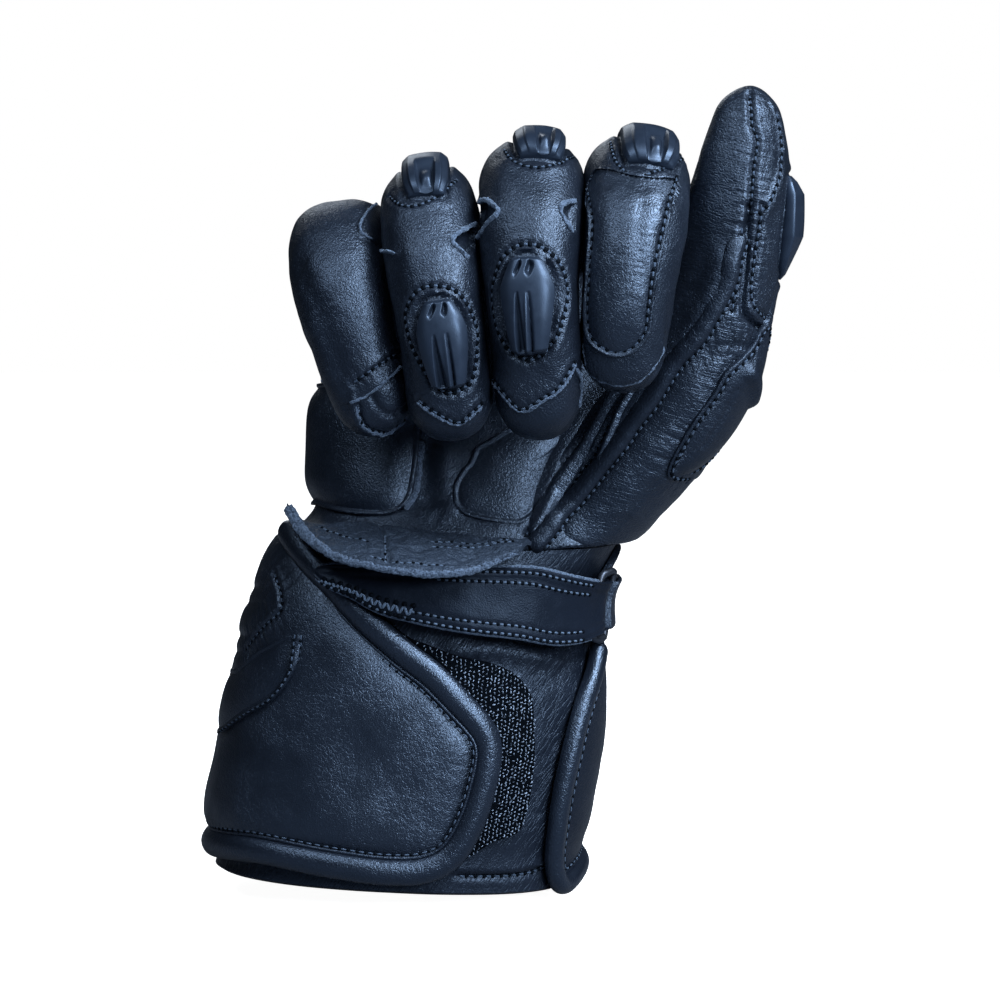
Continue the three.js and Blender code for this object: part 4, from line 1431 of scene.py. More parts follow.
def lifted(path: Path, skins: Sequence[Skin], out: float = 0.0) -> Path:
    """Returns a path on the pressed and settled skins, and further out by a distance.

    Args:
        path: A line on the surfaces.
        skins: The skins under it.
        out: Extra distance, in millimetres.

    Returns:
        The line on the skins.
    """
    rises = []
    for point in path.points:
        hits = [(skin.tree.find_nearest(Vector(point)), skin) for skin in skins]
        (_, _, face, _), skin = min(hits, key=lambda hit: hit[0][3])
        rises.append(skin.face_rise[face])
    return Path(path.points + path.normals * (np.array(rises) + out)[:, None], path.normals, path.closed)


def sew_seams(skins: Sequence[Skin], seams: Sequence[Seam], stitching: Stitching) -> list[Hull]:
    """Presses seams into skins, then lays their stitches and lips.

    Args:
        skins: The skins that carry the seams.
        seams: The seams.
        stitching: The sewing that the stitches go to.

    Returns:
        The lips.
    """
    drawn = [(seam, traced(seam.pixels, skins, seam.closed)) for seam in seams]
    for seam, path in drawn:
        for skin in skins:
            skin.press(path, seam.fold, seam.depth, seam.width, seam.gather)
            if seam.stitch is not None:
                skin.press(path.beside(seam.stitch), Fold.SEWN, pitch=seam.pitch, **STITCH_BED)
            if seam.ridge_at is not None:
                skin.press(path.beside(seam.ridge_at), Fold.RIDGE, seam.ridge, 0.6)
    for skin in skins:
        skin.settle()
    lips = []
    for seam, path in drawn:
        if seam.lip_at is not None:
            line = lifted(path.beside(seam.lip_at), skins).softened(4)
            unevenness = 1 + 0.35 * SOFTNESS.at(line.points, 3.0)
            section = oval(seam.lip_width, seam.lip_height, 10, 0.1)
            lips.append(frayed(swept(line, section, 1.2, unevenness), 0.55, 0.9))
        if seam.stitch is not None:
            line = lifted(path.beside(seam.stitch), skins, 0.12).softened(3)
            stitching.sew(line, seam.pitch, seam.thick)
    return lips


def stall_places(stall: Stall, steps: int, cap: int) -> Callable[[float], Array]:
    """Returns the places of rings along a stall at a distance out of its surface.

    Args:
        stall: The finger or thumb.
        steps: Number of rings on its straight part.
        cap: Number of rings on its round end.

    Returns:
        A function from a distance out of the surface to the places along the stall.
    """
    straight = np.linspace(0, stall.length - stall.round, steps)
    turns = np.sin(np.linspace(0, math.pi / 2, cap + 2)[1:-1])

    def places(out: float) -> Array:
        """Returns the places."""
        return np.concatenate([straight, straight[-1] + (stall.round + out) * turns])

    return places


def even_angles(count: int, start: float = 0.0) -> Array:
    """Returns angles that are evenly spaced round an oval section.

    Args:
        count: Number of angles.
        start: The first angle, in degrees.

    Returns:
        The angles, in degrees.
    """
    fine = np.linspace(0, 360, 2881)
    turn = np.radians(fine)
    ring = np.stack([power(np.sin(turn), 2 / ROUNDNESS), power(np.cos(turn), 2 / ROUNDNESS)], -1)
    run = np.concatenate([[0], np.cumsum(np.linalg.norm(np.diff(ring, axis=0), axis=1))])
    return np.interp(np.linspace(0, run[-1], count, endpoint=False), run, fine) + start


def stall_grid(stall: Stall, steps: int, cap: int, around: int) -> Callable[[float], Array]:
    """Returns a stall's grid of points at a distance out of its surface.

    Args:
        stall: The finger or thumb.
        steps: Number of rings on its straight part.
        cap: Number of rings on its round end.
        around: Number of points in a ring.

    Returns:
        A function from a distance out of the surface to the grid of points.
    """
    places, angles = stall_places(stall, steps, cap), even_angles(around)

    def grid(out: float) -> Array:
        """Returns the grid."""
        return stall.point(places(out)[:, None], angles[None, :], out)

    return grid


def hand_grid(steps: int, crown: int, around: int, foot: float = HAND_FOOT) -> Callable[[float], Array]:
    """Returns the hand's grid of points at a distance out of its surface.

    Args:
        steps: Number of rings on the walls.
        crown: Number of rings on the top.
        around: Number of points in a ring.
        foot: Height of the lowest ring.

    Returns:
        A function from a distance out of the surface to the grid of points.
    """
    angles = even_angles(around, 180.0)
    heights = np.linspace(foot, HAND_HEAD, steps)
    turns = np.linspace(0, math.pi / 2, crown + 2)[1:-1]

    def grid(out: float) -> Array:
        """Returns the grid.

        Args:
            out: Distance out of the hand's surface, in millimetres.

        Returns:
            The rings of the walls and of the top.
        """
        wall = HAND.point(angles[None, :], heights[:, None], out)
        rim = wall[-1]
        middle = np.array([HAND.rows.columns["x"][-1], HAND.rows.columns["y"][-1], HAND_HEAD])
        caps = []
        for turn in turns:
            share = np.array([math.cos(turn) ** 0.8, math.cos(turn), 0])
            ring = middle + (rim - middle) * share
            ring[:, 2] = HAND_HEAD + (HAND_CROWN + out) * math.sin(turn)
            caps.append(ring)
        return np.concatenate([wall, np.array(caps)])

    return grid


@dataclass
class SliderForm:
    """A hard slider on a stall: where it sits, its outline and its ridges."""

    name: str
    stall: str
    turn: float
    spread: float
    start: float
    end: float
    crown: float
    brow: float | None = None
    wedged: bool = False

    KNOB = Rows("b w", (0, 0.6), (0.15, 0.88), (0.4, 1.0), (0.8, 1.0), (0.93, 0.92), (1, 0.76))
    SHIELD = Rows("b w", (0, 0.44), (0.05, 0.6), (0.3, 0.97), (0.38, 1.0), (0.5, 0.96), (0.93, 0.64), (1, 0.52))

    def knob(self, a: Array, b: Array) -> Array:
        """Returns the height of a knuckle's slider: bevelled sides, two slats, a peg in the recess between.

        Args:
            a: Places across the slider, -1 to 1.
            b: Places along it, 0 to 1.

        Returns:
            A height over the leather for each pair of places, in millimetres.
        """
        across = np.abs(a)
        body = self.crown * np.interp(across, (0, 0.52, 0.84, 0.97, 1), (1, 0.98, 0.62, 0.25, 0))
        body = body * np.sqrt(1 - np.clip((b - 0.88) / 0.125, 0, 1) ** 2)
        body = body * np.sqrt(1 - np.clip((0.14 - b) / 0.15, 0, 1) ** 2)
        front = smooth(b, self.brow + 0.01, self.brow + 0.13)
        recess = 1 - smooth(across, 0.26, 0.31)
        slat = smooth(across, 0.28, 0.32) * (1 - smooth(across, 0.54, 0.6))
        peg = np.sqrt(np.clip(1 - (a / 0.17) ** 2, 0, 1)) * smooth(b, self.brow + 0.08, self.brow + 0.2)
        peg = peg * smooth(-b, -0.97, -0.9)
        return 0.3 + body + front * (0.3 * slat - 1.5 * recess * body / self.crown) + 1.3 * peg

    def wedge(self, a: Array, b: Array) -> Array:
        """Returns the height of the thumb's slider: flat facets that meet along a raised edge.

        Args:
            a: Places across the slider, -1 to 1.
            b: Places along it, 0 to 1.

        Returns:
            A height over the leather for each pair of places, in millimetres.
        """
        along = np.interp(b, (0, 0.06, 0.45, 0.84, 0.95, 1), (0, 0.25, 1, 0.94, 0.45, 0))
        slant = np.abs(a - 0.25 + 0.9 * (b - 0.5))
        side = np.interp(slant, (0, 0.35, 1.2), (1, 0.86, 0.5))
        rim = np.sqrt(np.clip((1 - np.abs(a)) / 0.06, 0, 1))
        return 0.3 + self.crown * along * side * rim

    def shield(self, a: Array, b: Array) -> Array:
        """Returns the height of a last joint's slider: facets, a ridge between two grooves, two slots.

        Args:
            a: Places across the slider, -1 to 1.
            b: Places along it, 0 to 1.

        Returns:
            A height over the leather for each pair of places, in millimetres.
        """
        across = np.abs(a)
        body = self.crown * np.clip((1 - across) / 0.12, 0, 1) ** 0.5
        side = np.logaddexp(0, (across - 0.52) * 14) / 14 * 2.4
        brow = np.logaddexp(0, (0.27 - b) * 22) / 22 * 4.5
        ends = np.clip(b / 0.04, 0, 1) ** 0.5 * np.clip((1 - b) / 0.07, 0, 1) ** 0.5
        down = np.clip((b - 0.36) / 0.58, 0, 1)
        inside = smooth(-b, -0.985, -0.93)
        left = np.exp(-(((a + 0.22 + 0.06 * down) / (0.03 + 0.16 * down)) ** 4)) * down**0.5 * inside
        right = np.exp(-(((a - 0.1 - 0.12 * down) / (0.03 + 0.02 * down)) ** 2)) * down**0.4 * inside
        ridge = 0.5 * np.exp(-(((a - 0.02) / (0.03 + 0.06 * down)) ** 2)) * down
        slots = 0.0
        for at in (-0.27, 0.2):
            along, beside = (a - at) + 2.6 * (0.12 - b), (a - at) - 1.6 * (0.12 - b)
            slots = slots + np.exp(-((along / 0.25) ** 4) - (beside / 0.1) ** 4)
        carved = 2.1 * left + 1.2 * right - 1.6 * ridge + 1.5 * slots
        return 0.25 + (body - side - brow - carved) * ends

    def outline(self, wider: float) -> Path:
        """Returns the slider's outline on the leather, made wider all round.

        Args:
            wider: Extra width all round, in millimetres.

        Returns:
            The closed outline.
        """
        stall = STALLS[self.stall]
        rows = self.SHIELD if self.brow is None else self.KNOB
        b = np.concatenate([np.linspace(0, 1, 14), np.linspace(1, 0, 14)])
        side = np.concatenate([np.ones(14), -np.ones(14)])
        out = wider / (math.radians(1) * 12.5)
        angle = self.turn + side * (self.spread * rows.at("b", b)["w"] + out)
        s = lerp(self.start, self.end, b) + wider * np.sign(b - 0.5) * (np.abs(b - 0.5) > 0.48)
        corners = list(zip(s, angle))
        return laid(stall.point, corners, True, 0.6).softened(4)

    def bed(self, skin: Skin) -> None:
        """Shapes the leather round the slider: a collar at a knuckle, a dark gap on a last joint.

        Args:
            skin: The leather under the slider.
        """
        if self.brow is None:
            skin.press(self.outline(0.5), Fold.GROOVE, 0.9, 0.8)
        else:
            skin.press(self.outline(0.3), Fold.GROOVE, 0.7, 0.6)
            skin.press(self.outline(1.7), Fold.RIDGE, 0.25, 1.2)

    def build(self, shop: Workshop) -> None:
        """Makes the slider and stands it in for its solid.

        Args:
            shop: The workshop that makes the pieces.
        """
        share = np.linspace(-1, 1, 91)
        a = (0.8 * share + 0.2 * np.sin(share * math.pi / 2))[None, :]
        b = np.linspace(0, 1, 101)[:, None]
        width = (self.SHIELD if self.brow is None else self.KNOB).at("b", b)["w"]
        angle = self.turn + self.spread * width * a
        s = lerp(self.start, self.end, b)
        stall = STALLS[self.stall]
        shape = self.wedge if self.wedged else self.shield if self.brow is None else self.knob
        height = shape(a, b + 0 * a)
        top = stall.point(s, angle, height)
        under = stall.point(s, angle, np.full(angle.shape, -0.9))[:, ::-1]
        hull = closed_rings(np.concatenate([top, under[:, 4::6]], axis=1))
        piece = shop.make(self.name, hull, "slider_plastic", 60)
        shop.finish(piece, "slider_plastic", self.name)


SLIDERS = (
    SliderForm("ring_knuckle_slider", "ring_finger", 3, 24, 34, 59, 2.6, 0.68),
    SliderForm("middle_knuckle_slider", "middle_finger", 10, 25, 34, 58.8, 3.2, 0.71),
    SliderForm("index_knuckle_slider", "index_finger", 9, 29, 36, 61.4, 2.9, 0.66),
    SliderForm("ring_tip_slider", "ring_finger", 1, 28, 79.5, 97, 2.8),
    SliderForm("middle_tip_slider", "middle_finger", -6, 29, 79, 97.5, 2.8),
    SliderForm("thumb_slider", "thumb", 50, 37, 97, 121.5, 3.6, 0.15, True),
)


STALL_WAVES = ((0.7, 13.0, 1), (0.28, 5.0, 2))


@dataclass
class StallForm:
    """A finger or the thumb: its fine surface, its seams and its hollow inside."""

    name: str
    seams: tuple[Seam, ...]
    neighbour: str | None = None
    steps: int = 200
    cap: int = 26
    around: int = 150
    wrinkle: float = 0.1
    finish: str = "soft_leather"
    hollows: tuple[Pixels, ...] = ()
    hollow_depth: float = 1.7
    foot: tuple[float, float] = (4.0, 1.4)

    def lay_out(self) -> Skin:
        """Returns the skin with its soft unevenness."""
        stall = STALLS[self.name]
        self.skin = Skin(stall_grid(stall, self.steps, self.cap, self.around))
        for wave in STALL_WAVES:
            self.skin.soften(*wave)
        along = stall_places(stall, self.steps, self.cap)(0.0)[:, None]
        turn = np.radians(even_angles(self.around))[None, :]
        lines = np.stack(np.broadcast_arrays(np.cos(turn) * 2.2, np.sin(turn) * 2.2, along / 1.7), -1)
        where = smooth(SOFTNESS.at(self.skin.base + 90, 11.0), -0.1, 0.3)
        self.skin.rise -= self.wrinkle * where * np.abs(SOFTNESS.at(lines, 1.0)) * 2
        if self.name == "thumb":
            self.skin.tuck(HAND_FOOT, *self.foot)
        for hollow in self.hollows:
            self.skin.swell(hollow, -self.hollow_depth, 0.6)
        return self.skin

    def build(self, shop: Workshop, hand: Hull) -> None:
        """Makes the hollow stall, cut where it meets the hand and its neighbour.

        Args:
            shop: The workshop that makes the pieces.
            hand: The hand's mesh, which is cut away from the stall.
        """
        stall = STALLS[self.name]
        places = stall_places(stall, 24, 5)
        inner = stall.point(places(-WALL)[:, None], even_angles(self.around)[None, :], -WALL)
        piece = shop.make(self.name, self.skin.wall(inner), self.finish)
        tools = [hand, block_below(HAND_FOOT + GAP)]
        if self.neighbour:
            tools.append(closed_rings(stall_grid(STALLS[self.neighbour], 60, 10, 64)(GAP)))
        shop.cut(piece, tools)
        shop.finish(piece, "main_leather", self.name)


@dataclass
class PalmRolls:
    """The soft rolls of leather between the seams of the palm and the thumb."""

    lines: tuple[tuple[Pixels, float, float], ...] = (
        (((624, 378), (604, 412), (591, 436), (574, 461), (559, 487), (545, 512), (531, 535)), 2.6, 1.7),
        (((645, 375), (629, 400), (619, 420), (608, 446), (594, 468), (580, 486), (562, 508), (545, 529)),
         1.5, 1.3),
    )

    def build(self, shop: Workshop, skins: Sequence[Skin]) -> None:
        """Lays the rolls on the hand and the thumb.

        Args:
            shop: The workshop that makes the pieces.
            skins: The skins of the hand and the thumb.
        """
        rolls = []
        for pixels, half, height in self.lines:
            line = lifted(traced(pixels, skins).softened(24), skins).softened(24)
            across = np.linspace(-1, 1, 13)
            top = np.column_stack([across * half, height * np.cos(across * np.pi / 2) ** 1.2 - 0.25])
            section = np.concatenate([top, np.array([[half, -1.2], [-half, -1.2]])])
            swell = 1 + 0.25 * SOFTNESS.at(line.points, 6.0) + 0.12 * SOFTNESS.at(line.points, 1.8)
            rolls.append(swept(line, section, 5.0, swell))
        shop.supply("palm_seam_rolls", Hull.joined(rolls), "palm_leather", "main_leather")


def block_below(height: float) -> Hull:
    """Returns a large block below a height."""
    corners = np.array([(-150, -150), (150, -150), (150, 150), (-150, 150)], float)
    rings = np.array([np.column_stack([corners, np.full(4, z)]) for z in (-60.0, height)])
    return closed_rings(rings)


@dataclass(frozen=True)
class Profile:
    """The height of a pad's top by the distance from its rim."""

    distances: tuple[float, ...]
    heights: tuple[float, ...]

    def at(self, distance: Array) -> Array:
        """Returns the height at a distance from the rim."""
        rows = Rows("d h", *zip(self.distances, self.heights))
        return rows.at("d", np.clip(distance, self.distances[0], self.distances[-1]))["h"]


class Patch:
    """A closed piece of leather inside an outline on a surface."""

    def __init__(self, point: Callable[[Array, Array, Array], Array], corners: Pixels,
                 profile: Profile, under: float = -0.6, spacing: float = 0.6, rings: int = 40) -> None:
        """Lays out the piece.

        Args:
            point: The surface: two coordinates and a distance out.
            corners: The outline's corners on the surface.
            profile: The top's height by the distance from the rim.
            under: The underside's height.
            spacing: Distance between points round the rim.
            rings: Rings from the rim to the middle.
        """
        corners = np.array(corners, float)
        rim = laid(point, corners, True, spacing)
        fine = even_line(corners, 0.4, True)
        places = point(fine[:, 0], fine[:, 1], 0 * fine[:, 0])
        outline = fine[nearest_on(rim.points, places)[0]]
        area = np.cross(outline, np.roll(outline, -1, axis=0))
        middle = ((outline + np.roll(outline, -1, axis=0)) * area[:, None]).sum(0) / (3 * area.sum())
        shares = 1 - np.linspace(0, 1, rings, endpoint=False) ** 1.35
        self.coordinates = middle + (outline - middle)[None] * shares[:, None, None]
        u, v = self.coordinates[..., 0], self.coordinates[..., 1]
        flat = point(u, v, 0 * u)
        distance = np.zeros(u.shape)
        for ring in range(1, rings):
            distance[ring] = nearest_on(flat[ring], rim.points[::2])[1]
        self.rim = rim
        top = profile.at(distance)
        inside = smooth(distance, 1.6, 3.2)
        for _ in range(60):
            beside = (np.roll(top, 1, axis=1) + np.roll(top, -1, axis=1) + np.vstack([top[:1], top[:-1]])
                      + np.vstack([top[1:], top[-1:].mean() + 0 * top[:1]])) / 4
            top = top + inside * 0.8 * (beside - top)
        self.top = top
        self.skin = Skin(lambda out: point(u, v, top + out))
        under_rings = [outline * k + middle * (1 - k) for k in (0.5, 1.0)]
        self.under = np.array([point(*ring.T, np.full(len(ring), under)) for ring in under_rings])

    def hull(self) -> Hull:
        """Returns the closed piece."""
        return closed_rings(np.concatenate([self.under, self.skin.surface]))


PAD_EDGE = Profile((0, 0.15, 0.5, 0.95, 1.35, 2.1, 3.6, 6, 10, 16),
                   (0.2, 0.75, 1.15, 1.1, 0.75, 1.25, 2.4, 3.4, 3.9, 4.0))
FLANGE_EDGE = Profile((0, 0.15, 0.4, 0.8, 1.15, 1.5, 2.1, 4.5, 9),
                      (0.2, 0.9, 1.4, 1.4, 0.8, 0.75, 1.15, 1.7, 1.8))
LEAF_EDGE = Profile((0, 0.15, 0.4, 0.9, 1.3, 1.8, 4, 9), (0.1, 0.5, 0.85, 0.85, 0.45, 0.7, 1.3, 1.6))

MIDDLE_OVAL = ((530, 244), (545, 249), (562, 266), (569, 294), (563, 322), (553, 344), (532, 361), (510, 353),
               (498, 335), (494, 318), (492, 290), (499, 262), (514, 247))
RING_OVAL = ((440, 286), (456, 291), (468, 305), (476, 324), (478, 342), (476, 368), (468, 387), (447, 394),
             (429, 381), (418, 362), (410, 342), (404, 316), (412, 296), (425, 287))
KNUCKLE_SEAM = {"depth": 0.7, "width": 1.0, "stitch": -1.2, "pitch": 1.9, "ridge_at": -0.3, "ridge": 0.6}
OVAL_SEAM = {"depth": 0.2, "width": 0.8, "closed": True, "pitch": 2.1, "thick": 1.3,
             "ridge_at": -1.5, "ridge": 0.6}

STALL_FORMS = (
    StallForm("little_finger", (
        Seam(((352, 384), (370, 371), (394, 355), (404, 350)), Fold.LAP, 0.45, 4.0, gather=0.2),
        Seam(((350, 403), (370, 394), (401, 367)), Fold.LAP, 0.6, 3.0, stitch=None, lip_at=0.2,
             lip_height=0.35),
        Seam(((357, 407), (360, 420), (366, 429), (382, 435), (406, 437), (419, 431)), Fold.LAP, -0.6, 2.5,
             lip_at=-0.3, lip_width=0.45),
        crease(((372, 397), (378, 408), (388, 415), (398, 413), (408, 405)), 0.8, 1.0),
        crease(((398, 413), (399, 430)), 0.5),
        Seam(((384, 203), (373, 207), (366, 214), (360, 225), (361, 235), (372, 241)), Fold.LAP, 0.7, 2.5,
             stitch=None, lip_at=0.0, lip_width=0.35),
        crease(((298, 270), (310, 296), (323, 322), (333, 350), (340, 374)), 0.9, 3.2, 0.3),
    ), "ring_finger"),
    StallForm("ring_finger", (
        Seam(((392, 192), (401, 200), (411, 203), (424, 199), (440, 187), (452, 178)), **KNUCKLE_SEAM),
        Seam(RING_OVAL, **OVAL_SEAM),
        Seam(((417, 402), (432, 414), (456, 425), (470, 417), (482, 406)), Fold.LAP, 0.55, 3.0, lip_at=0.15,
             stitch=0.9),
        notch(((474, 224), (462, 231), (451, 240), (459, 249), (468, 259)), 0.6),
        Seam(((384, 251), (390, 252), (396, 254)), Fold.RIDGE, 0.5, 0.9, stitch=None, lip_at=0.0,
             lip_height=0.7),
        crease(((399, 262), (396, 290), (400, 330), (408, 372)), 0.25, 1.6, 0.15),
    ), "middle_finger", hollows=(((474, 227), (463, 232), (453, 240), (460, 248), (470, 257), (474, 250)),)),
    StallForm("middle_finger", (
        Seam(((508, 147), (517, 158), (530, 163), (545, 163), (560, 157), (574, 151)), **KNUCKLE_SEAM),
        Seam(MIDDLE_OVAL, **OVAL_SEAM),
        Seam(((494, 382), (505, 397), (517, 410), (527, 411), (545, 400), (560, 390), (575, 364)), Fold.LAP,
             0.55, 3.0, lip_at=0.15, stitch=0.9),
        Seam(((575, 371), (580, 381), (582, 391), (580, 410)), depth=0.6, lip_at=0.8, stitch=None),
        notch(((478, 202), (487, 200), (495, 206), (501, 212), (494, 219), (488, 225), (479, 240)), 0.65),
        notch(((575, 201), (566, 203), (559, 207), (561, 214), (566, 223), (573, 233)), 0.6),
    ), "index_finger", hollows=(
        ((471, 202), (485, 201), (493, 206), (499, 212), (492, 218), (486, 225), (478, 238), (471, 238)),
        ((576, 203), (566, 205), (561, 208), (563, 214), (568, 222), (575, 231)),
    )),
    StallForm("index_finger", (
        Seam(((615, 140), (617, 150), (622, 162), (635, 173), (646, 171), (667, 161), (686, 152)),
             **KNUCKLE_SEAM),
        Seam(((586, 342), (588, 358), (593, 374), (618, 383), (640, 378), (657, 359), (661, 344)), Fold.LAP,
             1.1, 3.5, stitch=None, lip_at=0.1, lip_width=0.5),
        crease(((582, 352), (585, 368), (594, 387), (618, 394), (641, 388), (661, 367), (666, 350)), 0.9, 1.1),
        crease(((588, 385), (600, 391), (614, 392), (632, 388), (646, 378)), 0.4),
    ), "thumb"),
    StallForm("thumb", (
        Seam(((748, 92), (750, 110), (751, 125), (757, 138), (756, 150), (753, 165), (751, 185), (750, 206)),
             depth=0.8, width=1.0, gather=0.35, pitch=1.9, stitch=0.5),
        crease(((749, 208), (748, 240), (747, 276), (745, 300), (746, 313), (757, 325), (768, 332)),
               1.9, 0.9, 0.25),
        Seam(((742, 226), (741, 250), (739, 280), (733, 312)), depth=0.3, gather=0.25, pitch=2.4),
        Seam(((763, 205), (760, 238), (757, 261), (754, 291), (757, 307), (767, 319)), depth=0.3, gather=0.2),
        Seam(((773, 112), (779, 146), (778, 168), (772, 188), (762, 207), (752, 209)), Fold.LAP, 0.5, 2.5,
             stitch=0.9),
        Seam(((738, 252), (731, 278), (713, 314), (698, 340), (675, 365), (654, 400), (633, 426),
              (618, 449), (602, 466), (587, 486), (572, 504), (557, 521), (541, 541)), Fold.LAP, -1.3, 6.0,
             stitch=None),
        Seam(((724, 262), (718, 284), (702, 313), (686, 338), (662, 364), (641, 397), (621, 421),
              (606, 444)), Fold.RIDGE, 1.5, 3.6, stitch=None),
        Seam(((763, 330), (756, 346), (744, 359), (727, 373), (719, 388), (703, 409), (689, 430), (679, 449),
              (669, 468), (670, 479), (685, 480)), Fold.LAP, 0.9, 9.0, gather=0.4, stitch=0.9, pitch=2.0),
        crease(((706, 350), (722, 347), (741, 346), (758, 349)), 0.5, 1.2, 0.5),
        crease(((696, 362), (712, 358), (733, 356)), 0.4, 1.2, 0.3),
    ), None, 270, 20, 176, 0.13, "thumb_leather"),
)

HAND_SEAMS = (
    Seam(((584, 432), (566, 464), (553, 486), (546, 504), (526, 535)), depth=0.9, pitch=2.1, gather=0.12),
    Seam(((449, 430), (444, 455), (443, 480), (449, 503)), Fold.RIDGE, 0.9, 3.2, stitch=None, gather=0.15),
    crease(((430, 440), (427, 470), (428, 500)), 0.5, 2.4, 0.2),
    Seam(((452, 512), (480, 524), (506, 528), (528, 524)), Fold.RIDGE, 0.6, 2.0, stitch=None, gather=0.3),
    Seam(((612, 420), (596, 452), (578, 473), (566, 498), (549, 516), (532, 538)), depth=0.9, pitch=2.1,
         gather=0.12),
    Seam(((414, 439), (411, 458), (410, 474), (407, 492), (398, 506)), depth=0.4, stitch=1.2, pitch=2.2,
         lip_at=2.2, lip_width=0.9, lip_height=0.8),
    Seam(((322, 380), (332, 388), (345, 391)), Fold.LAP, 0.6, 2.0, stitch=None, lip_at=0.1),
)


@dataclass
class HandForm:
    """The hollow hand, and the pads sewn on its palm."""

    steps: int = 130
    crown: int = 34
    around: int = 360
    valley: tuple[float, float] = (2.4, 5.0)
    heel: tuple[float, float] = (-2.4, 1.5)
    foot: tuple[float, float] = (2.6, 1.5)

    VALLEY = ((584, 432), (627, 402), (645, 412), (602, 470), (565, 520), (532, 545), (526, 535), (553, 486))
    HEEL = ((546, 540), (564, 512), (585, 516), (608, 528), (608, 556), (546, 556))

    def lay_out(self) -> Skin:
        """Returns the skin with its soft unevenness."""
        self.skin = Skin(hand_grid(self.steps, self.crown, self.around))
        self.skin.soften(0.8, 17.0, 3)
        self.skin.soften(0.3, 6.0, 4)
        self.skin.swell(self.VALLEY, *self.valley)
        self.skin.swell(self.HEEL, *self.heel)
        self.skin.tuck(HAND_FOOT, *self.foot)
        return self.skin

    def build(self, shop: Workshop) -> None:
        """Makes the hand with a hole into each finger and the thumb."""
        piece = shop.make("hand", self.skin.wall(hand_grid(16, 5, self.around)(-WALL)), "soft_leather")
        shop.cut(piece, [closed_rings(stall_grid(stall, 40, 6, 40)(-WALL)) for stall in STALLS.values()])
        shop.finish(piece, "main_leather", "palm_panel", "back_panel")


@dataclass(frozen=True)
class PadForm:
    """A raised pad: its surface, outline, edge and finish."""

    name: str
    surface: str
    corners: tuple[tuple[float, float], ...]
    profile: Profile
    finish: str = "smooth_leather"
    uneven: float = 0.35
    fill: float | None = None
    sewn: float = 1.0
    folds: tuple[Seam, ...] = ()
    sunk: tuple[float, float, float] | None = None

    def point(self, u: Array, v: Array, out: Array) -> Array:
        """Gives points on the surface that carries the pad."""
        return HAND.point(u, v, out) if self.surface == "hand" else STALLS[self.surface].point(v, u, out)

    def lay_out(self) -> Patch:
        """Returns the pad with its soft unevenness."""
        patch = Patch(self.point, self.corners, self.profile)
        for wave in STALL_WAVES if self.sunk else ((self.uneven, 9.0, len(self.name)),):
            patch.skin.soften(*wave)
        for fold in self.folds:
            patch.skin.press(traced(fold.pixels, [patch.skin]), fold.fold, fold.depth, fold.width, fold.gather)
        if self.sunk:
            start, end, left_over = self.sunk
            patch.skin.rise -= (patch.top - left_over) * (1 - smooth(patch.coordinates[..., 1], start, end))
        return patch


PAD_FORMS = (
    PadForm("index_top_panel", "index_finger", (
        (-76, 64), (-62, 73), (-60, 83), (-58, 91), (-47, 96.4), (-23, 98.6), (-5, 99), (12, 97.4), (26, 93),
        (27, 88), (27, 80), (30, 74), (34, 68.5), (41, 63), (24, 63.6), (8, 64.6), (-10, 64.2), (-32, 62.2),
        (-56, 60.5),
    ), FLANGE_EDGE, sewn=0.77, folds=(
        crease(((641, 190), (642, 205), (639, 228), (640, 253)), 0.15, 1.4, 0.12),
        crease(((660, 205), (656, 240), (651, 285), (645, 315)), 0.0, gather=0.22),
    ), finish="index_leather", sunk=(63.5, 73.0, 0.3)),
    PadForm("thumb_knuckle_pad", "thumb", (
        (76, 86), (92, 85), (100, 81.4), (112, 78.4), (126, 74.7), (129, 70), (133.5, 62), (131, 54), (125, 48),
        (116, 45.3), (100, 45.6), (80, 50), (64, 58), (56, 68), (60, 79),
    ), Profile((0, 0.2, 0.8, 1.6, 3, 6, 12), (0.1, 0.5, 0.7, 0.5, 1.2, 2.2, 2.6)), finish="soft_leather",
        fill=0.5, folds=(
        Seam(((751, 373), (756, 383), (754, 396), (749, 408)), Fold.RIDGE, 1.7, 2.2, stitch=None),
        crease(((735, 392), (722, 420), (704, 446)), 0.25, 0.8, 0.15),
    )),
    PadForm("palm_side_pad", "hand", (
        (-100, 96.5), (-76, 96.4), (-47, 95), (-28, 95), (-20.5, 98), (-18.5, 105), (-18.5, 116), (-20, 125),
        (-45, 127.5), (-80, 127.5), (-104, 125), (-108, 112),
    ), PAD_EDGE, fill=0.7, sewn=0.0),
    PadForm("palm_centre_pad", "hand", (
        (0.5, 113.5), (-2.2, 108.5), (-5.4, 103.3), (-5.4, 98.5), (-3, 95.9), (2, 94), (10, 93), (15, 93),
        (18.5, 95), (20.3, 98.4), (21, 102), (24, 108.4), (28.3, 113.7), (30.5, 118), (14, 120),
    ), Profile((0, 0.15, 0.5, 0.95, 1.35, 2.1, 3.6, 7), (0.2, 0.65, 0.95, 0.9, 0.6, 0.95, 1.6, 2.4)),
        fill=0.6, sewn=0.0),
)

